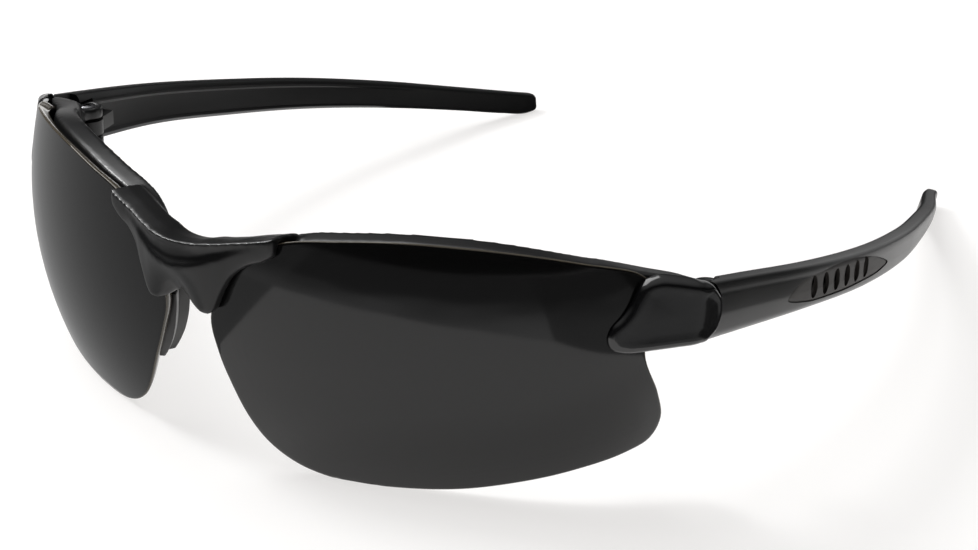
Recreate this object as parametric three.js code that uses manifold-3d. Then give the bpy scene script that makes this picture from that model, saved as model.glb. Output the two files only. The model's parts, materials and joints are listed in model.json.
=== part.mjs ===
// Wraparound safety glasses with a half-rim front, two smoked lenses and two folding temples.
// Millimetres. +X is the wearer's left, -Y is the way the lenses face, +Z is up, and the floor that
// the glasses lie on is z = 0. Pieces are shaped about the lens reference point and moved once, at
// the end, so that the origin is under the middle of the glasses.

import * as THREE from 'three';
import { mergeVertices } from 'three/addons/utils/BufferGeometryUtils.js';
import Module from 'manifold-3d';

const wasm = await Module();
wasm.setup();

// ---------------------------------------------------------------- driving dimensions

const DEPTH_MIDDLE = 75.25;     // from the lens reference point back to the middle of the glasses
const FIT_GAP = 0.3;            // between pieces that touch
const PIN_GAP = 0.1;            // around the hinge screw

const LENS = {
  centreX: 39,
  centreZ: 22.95,
  wrap: THREE.MathUtils.degToRad(31),
  radiusAcross: 68.5,
  radiusUp: 60,
  bendStart: 12,
  bendRate: 0.0082,
  thickness: 2,
  // Rim, across (outward) and up from the lens reference point, anticlockwise from the temple side.
  rim: [
    [25.4, -0.5], [25.6, 5.4], [25.2, 9.8], [23.3, 11.6], [15, 13.7], [6.9, 14.9], [-1, 15.4], [-9, 15.3],
    [-17, 14.4], [-25.5, 12.7], [-30.5, 9.8], [-34.6, 5.2], [-36.8, -0.5], [-35.5, -5.6], [-33.5, -10],
    [-30.4, -15.6], [-27.2, -19.4], [-22.5, -22.4], [-16.5, -23.8], [-9, -23.6], [0.7, -22.6],
    [9, -20.7], [17.4, -18.4], [24, -16.6], [27.6, -14.9], [29, -11.6], [28, -7],
  ],
  rimSegments: 52,
  backTaper: 1,
  rings: [0.3, 0.58, 0.82, 1],
};

const BROW = { front: 2.8, rear: 7.2, height: 6.2, drop: 0.5, crest: 1.0 };

// Stations of the bridge from the middle outwards. Each is a section at x, with [y, z] of its ridge,
// top rear, rear, bottom rear, bottom front and scoop.
const BRIDGE = [
  { x: 0, section: [[-13.7, 34.1], [-7.2, 32.8], [-5.6, 30.2], [-7.0, 26.2], [-11.0, 25.8], [-13.9, 30.3]] },
  { x: 2.5, section: [[-13.5, 34.2], [-7.0, 33.0], [-5.4, 30.3], [-6.8, 25.2], [-11.6, 24.3], [-13.6, 30.7]] },
  { x: 4.3, section: [[-13.1, 34.3], [-6.7, 33.6], [-5.0, 30.5], [-6.2, 24.4], [-11.9, 23.6], [-13.1, 31.3]] },
  { x: 5.8, section: [[-12.5, 34.5], [-6.4, 33.8], [-4.6, 30.8], [-5.6, 24.6], [-11.8, 24.2], [-12.5, 32.0]] },
  { x: 7.2, section: [[-12.0, 34.7], [-6.0, 34.1], [-4.0, 31.0], [-4.6, 26.8], [-11.6, 27.6], [-12.0, 32.6]] },
  { x: 8.6, section: [[-11.4, 35.0], [-5.6, 34.4], [-3.4, 31.5], [-4.0, 28.2], [-11.0, 30.3], [-11.3, 33.3]] },
  { x: 10.7, section: [[-10.7, 35.4], [-4.9, 35.0], [-2.7, 32.0], [-3.2, 29.2], [-10.3, 32.1], [-10.5, 34.2]] },
  { x: 12.8, section: [[-10.2, 36.0], [-4.1, 35.4], [-1.9, 32.6], [-2.4, 29.8], [-9.9, 33.0], [-10.0, 35.0]] },
  { x: 14.6, section: [[-9.7, 36.6], [-3.4, 35.8], [-1.3, 33.2], [-1.7, 30.2], [-9.5, 34.4], [-9.6, 35.7]] },
];

const HINGE = {
  x: 59.7,
  y: 30.4,
  knuckleRadius: 2.6,
  clearRadius: 3.05,
  bottom: 22.4,
  lowerTop: 24.6,
  upperBottom: 27.7,
  top: 29.9,
  webFront: 26.2,
  webHalf: 1.9,
  armY: 36,
};

const SCREW = { shankRadius: 0.8, headRadius: 1.5, headHeight: 0.7, bottom: 22.7, sides: 16 };
const NUT = { outerRadius: 1.45, bottom: 22.7, height: 1.6 };

// Centre line and height of a temple, station by station from the hinge to the tip.
const TEMPLE = {
  stations: [
    { y: 24.0, x: 61.2, top: 32.6, bottom: 23.3, lean: 0.4, thickness: 3.6 },
    { y: 34.0, x: 62.9, top: 30.9, bottom: 22.2, lean: 0.45, thickness: 3.6 },
    { y: 51.1, x: 65.5, top: 27.8, bottom: 20.2, lean: 0.5, thickness: 3.5 },
    { y: 73.7, x: 66.4, top: 23.5, bottom: 16.5, lean: 0.55, thickness: 3.4 },
    { y: 96.3, x: 64.8, top: 19.2, bottom: 12.8, lean: 0.6, thickness: 3.4 },
    { y: 119.0, x: 60.7, top: 14.4, bottom: 8.6, lean: 0.8, thickness: 3.4 },
    { y: 141.6, x: 55.3, top: 9.1, bottom: 3.8, lean: 1.0, thickness: 3.3 },
    { y: 153.0, x: 51.8, top: 6.5, bottom: 1.3, lean: 1.0, thickness: 3.1 },
    { y: 160.0, x: 49.8, top: 4.9, bottom: -0.1, lean: 0.9, thickness: 2.9 },
    { y: 164.4, x: 49.1, top: 3.6, bottom: 0.6, lean: 0.6, thickness: 2.6 },
  ],
  steps: 26,
};

const INLAY = {
  depth: 0.9,
  // Leaf outline on the outer face, [y, z].
  leaf: [
    [44.2, 24.4], [47, 26.2], [55.5, 26], [64, 24.8], [73, 22.6], [80, 19.9], [82.6, 18.4], [78.8, 18],
    [71.5, 18.8], [60, 20.4], [50, 22.2],
  ],
  slotCount: 6,
  slotFirst: [51.6, 24.1],
  slotLast: [71.1, 21.3],
  slotHeight: 4.1,
  slotWidth: 1.4,
  slotSlant: THREE.MathUtils.degToRad(24),
};

// ---------------------------------------------------------------- materials

const paint = (color, roughness, metalness = 0) => new THREE.MeshStandardMaterial({ color, roughness, metalness });
const MATERIALS = {
  frame: paint(0x16161a, 0.42),
  cap: paint(0x0b0b0d, 0.14),
  lens: paint(0x1c1c20, 0.08),
  rubber: paint(0x1b1b1b, 0.75),
  carrier: paint(0x141416, 0.35),
  steel: paint(0xb4b6ba, 0.3, 1),
  brass: paint(0xb08a48, 0.35, 1),
};

// ---------------------------------------------------------------- solids and meshes

function toSolid(geometry) {
  const bare = geometry.index ? geometry.clone() : mergeVertices(geometry);
  bare.deleteAttribute('normal');
  bare.deleteAttribute('uv');
  const merged = mergeVertices(bare, 1e-5);
  return new wasm.Manifold(new wasm.Mesh({
    numProp: 3,
    vertProperties: new Float32Array(merged.attributes.position.array),
    triVerts: new Uint32Array(merged.index.array),
  }));
}

function toGeometry(solid) {
  const mesh = solid.getMesh();
  const geometry = new THREE.BufferGeometry();
  geometry.setAttribute('position', new THREE.BufferAttribute(new Float32Array(mesh.vertProperties), 3));
  geometry.setIndex(new THREE.BufferAttribute(new Uint32Array(mesh.triVerts), 1));
  geometry.computeVertexNormals();
  return geometry;
}

const join = (solids) => solids.reduce((whole, solid) => whole.add(solid));

// A solid from the points and triangles of a closed skin, turned so that its faces point outwards.
function closedMesh(points, triangles) {
  const edge = new THREE.Vector3();
  let volume = 0;
  for (let k = 0; k < triangles.length; k += 3) {
    const [a, b, c] = triangles.slice(k, k + 3).map((index) => points[index]);
    volume += edge.crossVectors(b, c).dot(a);
  }
  const geometry = new THREE.BufferGeometry();
  geometry.setFromPoints(points);
  geometry.setIndex(volume < 0 ? triangles.toReversed() : triangles);
  return toSolid(geometry);
}

// A closed skin over rings of points, with a fan over each end.
function loft(rings) {
  const count = rings[0].length;
  const points = rings.flat();
  const triangles = [];
  for (let row = 0; row + 1 < rings.length; row += 1) {
    for (let k = 0; k < count; k += 1) {
      const a = row * count + k;
      const b = row * count + (k + 1) % count;
      triangles.push(a, b, a + count, b, b + count, a + count);
    }
  }
  const endRow = (rings.length - 1) * count;
  const startHub = points.push(ringCentre(rings[0])) - 1;
  const endHub = points.push(ringCentre(rings.at(-1))) - 1;
  for (let k = 0; k < count; k += 1) {
    const next = (k + 1) % count;
    triangles.push(startHub, next, k);
    triangles.push(endHub, endRow + k, endRow + next);
  }
  return closedMesh(points, triangles);
}

function ringCentre(ring) {
  const centre = new THREE.Vector3();
  ring.forEach((point) => centre.add(point));
  return centre.divideScalar(ring.length);
}

// An upright prism over an outline in the x, y plane.
function upright(shape, bottom, top) {
  const geometry = new THREE.ExtrudeGeometry(shape, { depth: top - bottom, bevelEnabled: false, curveSegments: 10 });
  geometry.translate(0, 0, bottom);
  return toSolid(geometry);
}

function disc(radius, x, y) {
  return new THREE.Shape().absarc(x, y, radius, 0, Math.PI * 2);
}

// A prism along x over an outline given as [y, z] pairs.
function sideways(shape, low, high) {
  const geometry = new THREE.ExtrudeGeometry(shape, { depth: high - low, bevelEnabled: false, curveSegments: 6 });
  const toSide = new THREE.Matrix4().makeBasis(
    new THREE.Vector3(0, 1, 0), new THREE.Vector3(0, 0, 1), new THREE.Vector3(1, 0, 0),
  );
  geometry.applyMatrix4(toSide);
  geometry.translate(low, 0, 0);
  return toSolid(geometry);
}

// ---------------------------------------------------------------- lens

// A point of the left lens, across and up from its reference point and at a depth behind its front.
function lensPoint(across, up, depth) {
  const turn = across / LENS.radiusAcross;
  const rise = up / LENS.radiusUp;
  const bend = LENS.bendRate * Math.max(0, across - LENS.bendStart) ** 2;
  const sag = LENS.radiusAcross * (1 - Math.cos(turn)) + LENS.radiusUp * (1 - Math.cos(rise)) + bend;
  const point = new THREE.Vector3(LENS.radiusAcross * Math.sin(turn), sag, LENS.radiusUp * Math.sin(rise));
  const forward = new THREE.Vector3(Math.tan(turn), -1, Math.tan(rise)).normalize();
  point.addScaledVector(forward, -depth);
  point.applyAxisAngle(new THREE.Vector3(0, 0, 1), LENS.wrap);
  return point.add(new THREE.Vector3(LENS.centreX, 0, LENS.centreZ));
}

const rimPoints = new THREE.CatmullRomCurve3(
  LENS.rim.map(([across, up]) => new THREE.Vector3(across, up, 0)), true, 'centripetal',
).getSpacedPoints(LENS.rimSegments).slice(0, -1);

// The lens, or with a growth the room that it needs in a piece that holds it.
function lensSolid(growth) {
  const count = rimPoints.length;
  const layers = [
    { depth: -growth, reach: growth },
    { depth: LENS.thickness + growth, reach: growth - LENS.backTaper },
  ];
  const points = [];
  for (const { depth, reach } of layers) {
    const rim = rimPoints.map((point) => point.clone().setLength(point.length() + reach));
    points.push(lensPoint(0, 0, depth));
    for (const share of LENS.rings) {
      rim.forEach((point) => points.push(lensPoint(point.x * share, point.y * share, depth)));
    }
  }
  const layerSize = 1 + LENS.rings.length * count;
  const triangles = [];
  const face = (front, a, b, c) => (front ? triangles.push(a, b, c) : triangles.push(a, c, b));
  for (const front of [true, false]) {
    const hub = front ? 0 : layerSize;
    for (let k = 0; k < count; k += 1) {
      const next = (k + 1) % count;
      face(front, hub, hub + 1 + k, hub + 1 + next);
      for (let ring = 0; ring + 1 < LENS.rings.length; ring += 1) {
        const inner = hub + 1 + ring * count;
        const outer = inner + count;
        face(front, inner + k, outer + k, outer + next);
        face(front, inner + k, outer + next, inner + next);
      }
    }
  }
  const frontRim = 1 + (LENS.rings.length - 1) * count;
  const backRim = layerSize + frontRim;
  for (let k = 0; k < count; k += 1) {
    const next = (k + 1) % count;
    triangles.push(frontRim + k, backRim + k, backRim + next);
    triangles.push(frontRim + k, backRim + next, frontRim + next);
  }
  return closedMesh(points, triangles);
}

// Keeps what stands on or above the floor, so that a piece rests there on a small flat.
const aboveFloor = (solid) => solid.trimByPlane([0, 0, 1], 0);

// ---------------------------------------------------------------- front frame

function rimHeight(across) {
  const above = rimPoints.filter((point) => point.y > 0).sort((a, b) => a.x - b.x);
  const right = above.findIndex((point) => point.x >= across);
  const low = above[right - 1];
  const high = above[right];
  return THREE.MathUtils.mapLinear(across, low.x, high.x, low.y, high.y);
}

// The brow bar behind the lens, from the bridge to the corner block that carries the hinge.
function browBar() {
  const rings = [-27, -21, -14, -7, 0, 7, 14, 20].map((across) => {
    const top = rimHeight(across) - BROW.drop;
    return [
      lensPoint(across, top, BROW.front),
      lensPoint(across, top + BROW.crest, BROW.rear - 1.2),
      lensPoint(across, top - BROW.height * 0.45, BROW.rear),
      lensPoint(across, top - BROW.height, BROW.rear - 0.8),
      lensPoint(across, top - BROW.height, BROW.front),
      lensPoint(across, top - BROW.height / 2, BROW.front),
    ];
  });
  const corner = ({ outer, inner, top, bottom }) => [
    new THREE.Vector3(...outer, top),
    new THREE.Vector3(...inner, top - 0.5),
    new THREE.Vector3(inner[0] - 0.4, inner[1], (top + bottom) / 2),
    new THREE.Vector3(...inner, bottom + 0.4),
    new THREE.Vector3(...outer, bottom),
    new THREE.Vector3(outer[0] + 0.2, outer[1], (top + bottom) / 2),
  ];
  rings.push(corner({ outer: [57.6, 20.4], inner: [53.4, 22.6], top: 33.6, bottom: 25.2 }));
  rings.push(corner({ outer: [60.2, 23.4], inner: [56.3, 25.0], top: 32.9, bottom: 24.2 }));
  rings.push(corner({ outer: [60.8, 26.8], inner: [57.6, 27.2], top: 31.7, bottom: 23.2 }));
  return loft(rings);
}

function bridge() {
  const half = BRIDGE.map(({ x, section }) => section.map(([y, z]) => new THREE.Vector3(x, y, z)));
  const otherHalf = half.slice(1).reverse().map((ring) => ring.map((point) => mirrored(point)));
  return loft([...otherHalf, ...half]);
}

function mirrored(point) {
  return new THREE.Vector3(-point.x, point.y, point.z);
}

const flip = (solid) => solid.mirror([1, 0, 0]);

// A lug or knuckle plate round the hinge line, with a web to the point that carries it.
function hingeWeb(toX, toY, bottom, top) {
  const reach = new THREE.Vector2(toX - HINGE.x, toY - HINGE.y);
  const side = new THREE.Vector2(-reach.y, reach.x).setLength(HINGE.webHalf);
  const shape = new THREE.Shape([
    new THREE.Vector2(HINGE.x, HINGE.y).add(side),
    new THREE.Vector2(HINGE.x, HINGE.y).sub(side),
    new THREE.Vector2(toX, toY).sub(side),
    new THREE.Vector2(toX, toY).add(side),
  ]);
  return upright(shape, bottom, top).add(upright(disc(HINGE.knuckleRadius, HINGE.x, HINGE.y), bottom, top));
}

function hingeHole(radius, bottom, top) {
  return upright(disc(radius, HINGE.x, HINGE.y), bottom, top);
}

function noseTenon(growth) {
  const shape = new THREE.Shape();
  shape.moveTo(5.3 - growth, -7.0 - growth);
  shape.lineTo(6.6 + growth, -7.0 - growth);
  shape.lineTo(6.6 + growth, -6.2 + growth);
  shape.lineTo(5.3 - growth, -6.2 + growth);
  return upright(shape, 22, 27.5 + growth);
}

function frontFrame() {
  const lugs = join([
    hingeWeb(59.4, HINGE.webFront, HINGE.bottom, HINGE.lowerTop),
    hingeWeb(59.4, HINGE.webFront, HINGE.upperBottom, HINGE.top),
  ]);
  const lugHoles = join([
    hingeHole(SCREW.shankRadius + PIN_GAP, HINGE.bottom - 1, HINGE.top + 1),
    hingeHole(SCREW.headRadius + PIN_GAP, HINGE.top - SCREW.headHeight, HINGE.top + 1),
    hingeHole(NUT.outerRadius + PIN_GAP, HINGE.bottom - 1, NUT.bottom + NUT.height + PIN_GAP),
  ]);
  const knuckleRoom = hingeHole(HINGE.clearRadius, HINGE.lowerTop, HINGE.upperBottom);
  const side = browBar().add(lugs).subtract(lugHoles).subtract(knuckleRoom);
  const room = lensSolid(FIT_GAP).add(noseTenon(FIT_GAP));
  return join([bridge(), side, flip(side)]).subtract(room).subtract(flip(room));
}

// ---------------------------------------------------------------- end cap

// The outer corner cover: a claw over the lens, then a shell round to the hinge.
function endCap() {
  const overLens = [
    { across: 19.4, low: 2.5, high: 3.8, proud: 0.7 },
    { across: 20.2, low: 1.6, high: 4.7, proud: 0.9 },
    { across: 21.3, low: 1.0, high: 5.8, proud: 1.0 },
    { across: 22.4, low: 0.8, high: 7.2, proud: 1.1 },
    { across: 23.4, low: 0.8, high: 9.8, proud: 1.1 },
    { across: 24.6, low: 0.8, high: 10.7, proud: 1.1 },
  ].map(({ across, low, high, proud }) => {
    const middle = (low + high) / 2;
    return [
      lensPoint(across, high, -FIT_GAP),
      lensPoint(across, high, -proud),
      lensPoint(across, middle, -proud - 0.1),
      lensPoint(across, low, -proud),
      lensPoint(across, low, -FIT_GAP),
      lensPoint(across, middle, -FIT_GAP),
    ];
  });
  const alongSide = [
    { inner: [57.7, 18.9], outer: [59.0, 17.9], low: 24.3, high: 34.3, bulge: 0.2 },
    { inner: [59.6, 20.7], outer: [61.0, 19.9], low: 24.3, high: 33.9, bulge: 0.4 },
    { inner: [61.0, 22.4], outer: [62.6, 22.0], low: 24.3, high: 33.4, bulge: 1.0 },
    { inner: [61.6, 24.4], outer: [63.3, 24.0], low: 24.3, high: 32.7, bulge: 2.4 },
  ].map(({ inner, outer, low, high, bulge }) => {
    const middle = (low + high) / 2;
    return [
      new THREE.Vector3(...inner, high),
      new THREE.Vector3(...outer, high),
      new THREE.Vector3(outer[0] + 0.2, outer[1] + bulge, middle),
      new THREE.Vector3(...outer, low),
      new THREE.Vector3(...inner, low),
      new THREE.Vector3(inner[0], inner[1] + bulge, middle),
    ];
  });
  const shell = loft([...overLens, ...alongSide]);
  return shell.subtract(lensSolid(FIT_GAP)).subtract(hingeHole(HINGE.clearRadius, 20, 40));
}

// ---------------------------------------------------------------- nose pads

// Levels of the nose support, from the leg of the bridge down. At each height, x and y are where it
// meets the nasal edge of the lens, and length is how far it reaches back along the side of the nose.
const NOSE_LEVELS = [
  { z: 22.6, x: 4.6, y: -7.2, length: 5.6 },
  { z: 20.4, x: 4.7, y: -7.1, length: 7.2 },
  { z: 17.4, x: 5.1, y: -7.0, length: 7.8 },
  { z: 14.6, x: 6.1, y: -6.6, length: 7.4 },
  { z: 12.4, x: 7.4, y: -6.1, length: 5.8 },
  { z: 11.0, x: 8.5, y: -5.7, length: 3.6 },
];
const NOSE = { backward: [0.52, 0.854], strip: 1.9, step: 1.3, wall: 1.3, seat: 3.2, padThickness: 1.1 };

function noseFrame({ x, y, z }) {
  const [alongX, alongY] = NOSE.backward;
  return (back, out) => new THREE.Vector3(x + back * alongX + out * alongY, y + back * alongY - out * alongX, z);
}

function noseCarrier() {
  const rings = NOSE_LEVELS.map((level) => {
    const at = noseFrame(level);
    return [
      at(0, 0),
      at(NOSE.strip, 0),
      at(NOSE.strip, NOSE.step),
      at(level.length, NOSE.step),
      at(level.length, NOSE.step + NOSE.wall),
      new THREE.Vector3(level.x + NOSE.seat, level.y, level.z),
    ];
  });
  return loft(rings).add(noseTenon(0));
}

function nosePad() {
  const padStart = NOSE.strip + FIT_GAP;
  const rings = NOSE_LEVELS.map((level) => {
    const at = noseFrame(level);
    const middle = (padStart + level.length) / 2;
    return [
      at(padStart, 0.15),
      at(middle, -0.25),
      at(level.length + 0.4, 0.15),
      at(level.length + 0.4, NOSE.padThickness - 0.1),
      at(padStart, NOSE.step - FIT_GAP),
    ];
  });
  return loft(rings);
}

// ---------------------------------------------------------------- hinge screw and nut

function hingeScrew() {
  const headBottom = HINGE.top - SCREW.headHeight + PIN_GAP;
  const profile = [
    [0, SCREW.bottom], [SCREW.shankRadius, SCREW.bottom], [SCREW.shankRadius, headBottom],
    [SCREW.headRadius, headBottom], [SCREW.headRadius, HINGE.top], [0, HINGE.top],
  ].map(([radius, z]) => new THREE.Vector2(radius, z));
  const geometry = new THREE.LatheGeometry(profile, SCREW.sides);
  geometry.rotateX(Math.PI / 2);
  geometry.translate(HINGE.x, HINGE.y, 0);
  return toSolid(geometry);
}

function hingeNut() {
  const ring = disc(NUT.outerRadius, HINGE.x, HINGE.y);
  ring.holes.push(disc(SCREW.shankRadius + PIN_GAP, HINGE.x, HINGE.y));
  return upright(ring, NUT.bottom, NUT.bottom + NUT.height);
}

// ---------------------------------------------------------------- temple

// Across and up shares of a temple section: flat inside, crowned outside under a top bevel.
const TEMPLE_SECTION = [
  [-0.36, 1], [-0.5, 0.86], [-0.5, 0.12], [-0.26, 0], [0.12, 0], [0.4, 0.12], [0.5, 0.48], [0.48, 0.84], [0.28, 1],
];

const templeTrack = new THREE.CatmullRomCurve3(
  TEMPLE.stations.map(({ x, y, top }) => new THREE.Vector3(x, y, top)), false, 'catmullrom',
);
const templeShape = new THREE.CatmullRomCurve3(
  TEMPLE.stations.map(({ thickness, lean, bottom }) => new THREE.Vector3(thickness, lean, bottom)), false, 'catmullrom',
);

function templeArm() {
  const rings = [];
  for (let step = 0; step <= TEMPLE.steps; step += 1) {
    const share = step / TEMPLE.steps;
    const upper = templeTrack.getPoint(share);
    const { x: thickness, y: lean, z: bottom } = templeShape.getPoint(share);
    rings.push(TEMPLE_SECTION.map(([across, up]) => new THREE.Vector3(
      upper.x + across * thickness + lean * (up - 0.5),
      upper.y,
      THREE.MathUtils.lerp(bottom, upper.z, up),
    )));
  }
  return loft(rings);
}

// The outer seam: the arm starts behind the curved rear edge of the end cap.
function seamRoom() {
  const shape = new THREE.Shape();
  shape.moveTo(20, 20);
  shape.lineTo(23.8, 20);
  shape.quadraticCurveTo(30.0, 27.8, 23.6, 35);
  shape.lineTo(20, 35);
  return sideways(shape, 50, 70);
}

// Room for the corner block and the lugs of the front, which the start of the arm reaches past.
function cornerRoom() {
  const shape = new THREE.Shape();
  shape.moveTo(50, 15);
  shape.lineTo(61.6, 15);
  shape.lineTo(62.0, 28.6);
  shape.lineTo(60.6, 29.4);
  shape.lineTo(50, 29.4);
  return upright(shape, 15, 40).add(hingeHole(HINGE.clearRadius, 15, 40));
}

function leafShape(growth) {
  const outline = new THREE.CatmullRomCurve3(
    INLAY.leaf.map(([y, z]) => new THREE.Vector3(y, z, 0)), true, 'centripetal',
  ).getPoints(24).slice(0, -1);
  const middle = ringCentre(outline);
  return new THREE.Shape(outline.map((point) => {
    const out = point.clone().sub(middle);
    out.setLength(out.length() + growth).add(middle);
    return new THREE.Vector2(out.x, out.y);
  }));
}

function slotCutter(index) {
  const share = index / (INLAY.slotCount - 1);
  const y = THREE.MathUtils.lerp(INLAY.slotFirst[0], INLAY.slotLast[0], share);
  const z = THREE.MathUtils.lerp(INLAY.slotFirst[1], INLAY.slotLast[1], share);
  const shape = new THREE.Shape().absellipse(
    y, z, INLAY.slotWidth / 2, INLAY.slotHeight / 2, 0, Math.PI * 2, false, INLAY.slotSlant,
  );
  return sideways(shape, 50, 75);
}

const arm = templeArm();

function temple() {
  const pocketFloor = arm.translate([-INLAY.depth - FIT_GAP, 0, 0]);
  const pocket = sideways(leafShape(FIT_GAP), 50, 75).subtract(pocketFloor);
  const body = aboveFloor(arm.subtract(cornerRoom()).subtract(seamRoom()).subtract(pocket));
  const knuckle = hingeWeb(61.6, HINGE.armY, HINGE.lowerTop + FIT_GAP, HINGE.upperBottom - FIT_GAP);
  return body.add(knuckle).subtract(hingeHole(SCREW.shankRadius + PIN_GAP, 20, 40));
}

function templeInlay() {
  const leaf = arm.intersect(sideways(leafShape(0), 50, 75)).subtract(arm.translate([-INLAY.depth, 0, 0]));
  const slots = Array.from({ length: INLAY.slotCount }, (_, index) => slotCutter(index));
  return leaf.subtract(join(slots));
}

// ---------------------------------------------------------------- assembly

const glasses = new THREE.Group();
glasses.position.y = -DEPTH_MIDDLE;

function place(name, solid, material) {
  const mesh = new THREE.Mesh(toGeometry(solid), material);
  mesh.name = name;
  glasses.add(mesh);
}

function placePair(name, solid, material) {
  place(`${name}_left`, solid, material);
  place(`${name}_right`, flip(solid), material);
}

place('front_frame', frontFrame(), MATERIALS.frame);
placePair('end_cap', endCap(), MATERIALS.cap);
placePair('lens', aboveFloor(lensSolid(0)), MATERIALS.lens);
placePair('nose_carrier', noseCarrier(), MATERIALS.carrier);
placePair('nose_pad', nosePad(), MATERIALS.rubber);
placePair('hinge_screw', hingeScrew(), MATERIALS.steel);
placePair('hinge_nut', hingeNut(), MATERIALS.brass);
placePair('temple', temple(), MATERIALS.frame);
placePair('temple_inlay', templeInlay(), MATERIALS.rubber);

export default glasses;
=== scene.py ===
"""Looks of a pair of wraparound safety glasses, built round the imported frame.

Every piece is shaped in the front's own coordinates, in millimetres: x to the wearer's left, y back from
the lens reference point, z up from the floor. It is moved to the row frame, in metres, as its mesh is made.
"""
import json
import logging
import math
from collections.abc import Callable, Mapping, Sequence
from dataclasses import dataclass
from enum import Enum
from typing import Any

import bmesh
import bpy
import numpy as np
from mathutils import Matrix, Vector


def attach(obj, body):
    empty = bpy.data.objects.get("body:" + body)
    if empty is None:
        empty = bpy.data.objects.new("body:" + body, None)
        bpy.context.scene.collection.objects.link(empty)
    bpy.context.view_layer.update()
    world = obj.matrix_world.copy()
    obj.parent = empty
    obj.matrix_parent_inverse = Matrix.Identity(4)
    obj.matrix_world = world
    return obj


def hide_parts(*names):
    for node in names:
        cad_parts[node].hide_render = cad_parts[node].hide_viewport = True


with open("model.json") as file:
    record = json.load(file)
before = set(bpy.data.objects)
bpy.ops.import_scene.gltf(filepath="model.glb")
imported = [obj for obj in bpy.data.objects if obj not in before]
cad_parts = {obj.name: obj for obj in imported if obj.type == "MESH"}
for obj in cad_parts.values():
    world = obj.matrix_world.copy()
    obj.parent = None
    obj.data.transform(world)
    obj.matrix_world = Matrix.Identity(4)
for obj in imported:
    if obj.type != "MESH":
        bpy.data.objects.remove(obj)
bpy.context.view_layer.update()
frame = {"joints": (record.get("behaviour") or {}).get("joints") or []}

MM = 0.001
Rings = list[np.ndarray]

log = logging.getLogger("glasses")


class Body(Enum):
    """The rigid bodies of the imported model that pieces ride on."""

    FRONT = "front"
    TEMPLE_LEFT = "temple_left"
    TEMPLE_RIGHT = "temple_right"


class Side(Enum):
    """The wearer's left, as shaped, and its mirror image."""

    LEFT = 1
    RIGHT = -1

    @property
    def tag(self) -> str:
        """The ending of the names of this side's pieces."""
        return self.name.lower()

    @property
    def temple_body(self) -> Body:
        """The body that this side's temple rides on."""
        return Body.TEMPLE_LEFT if self is Side.LEFT else Body.TEMPLE_RIGHT


# ---------------------------------------------------------------- node trees


class Term:
    """A number from a socket, whose arithmetic adds Math nodes to the socket's tree."""

    def __init__(self, nodes: "Nodes", socket: bpy.types.NodeSocket) -> None:
        """Wraps a socket.

        Args:
            nodes: The tree that the socket belongs to.
            socket: An output socket that carries a number.
        """
        self.nodes = nodes
        self.socket = socket

    def apply(self, operation: str, *values: Any) -> "Term":
        """Adds a Math node that starts from this number.

        Args:
            operation: The Math node's operation.
            values: The numbers or terms of its other inputs.

        Returns:
            The node's result.
        """
        inputs = dict(enumerate((self, *values)))
        return self.nodes.add("ShaderNodeMath", {"operation": operation}, inputs).term("Value")

    def __add__(self, other: Any) -> "Term":
        """This plus other."""
        return self.apply("ADD", other)

    def __sub__(self, other: Any) -> "Term":
        """This minus other."""
        return self.apply("SUBTRACT", other)

    def __rsub__(self, other: Any) -> "Term":
        """Other minus this."""
        return (self * -1) + other

    def __mul__(self, other: Any) -> "Term":
        """This times other."""
        return self.apply("MULTIPLY", other)

    def __truediv__(self, other: Any) -> "Term":
        """This over other."""
        return self.apply("DIVIDE", other)

    def __pow__(self, other: float) -> "Term":
        """This raised to a power."""
        return self.apply("POWER", other)

    __radd__ = __add__
    __rmul__ = __mul__


class Made:
    """A node just added, read by the names of its outputs."""

    def __init__(self, nodes: "Nodes", node: bpy.types.Node) -> None:
        """Keeps the node with the tree that it is in."""
        self.nodes = nodes
        self.node = node

    def out(self, name: str | int) -> bpy.types.NodeSocket:
        """An output socket, by name or place."""
        return self.node.outputs[name]

    def term(self, name: str | int = 0) -> Term:
        """An output as a number that arithmetic works on."""
        return Term(self.nodes, self.out(name))


class Nodes:
    """A node tree that is being filled."""

    def __init__(self, tree: bpy.types.NodeTree) -> None:
        """Takes an empty or cleared tree."""
        self.tree = tree
        tree.nodes.clear()

    def add(
        self, kind: str, settings: Mapping[str, Any] | None = None, sockets: Mapping[Any, Any] | None = None
    ) -> Made:
        """Adds a node.

        Args:
            kind: The node's type, such as ShaderNodeMath.
            settings: Its properties, set before its sockets. "stops" holds a ramp's (place, grey) pairs.
            sockets: Values, terms or output sockets, by the input's name or place.

        Returns:
            The node.
        """
        node = self.tree.nodes.new(kind)
        for name, value in (settings or {}).items():
            if name == "stops":
                self._set_stops(node.color_ramp, value)
            else:
                setattr(node, name, value)
        for name, value in (sockets or {}).items():
            if isinstance(value, Term):
                value = value.socket
            if isinstance(value, bpy.types.NodeSocket):
                self.tree.links.new(value, node.inputs[name])
            else:
                node.inputs[name].default_value = value
        return Made(self, node)

    @staticmethod
    def _set_stops(ramp: bpy.types.ColorRamp, stops: Sequence[tuple[float, float]]) -> None:
        """Gives a ramp its stops.

        Args:
            ramp: A ramp with its two first stops.
            stops: Place and grey of each stop, in rising order.
        """
        while len(ramp.elements) < len(stops):
            ramp.elements.new(1.0)
        for element, (place, grey) in zip(ramp.elements, stops):
            element.position = place
            element.color = (grey, grey, grey, 1.0)


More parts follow.
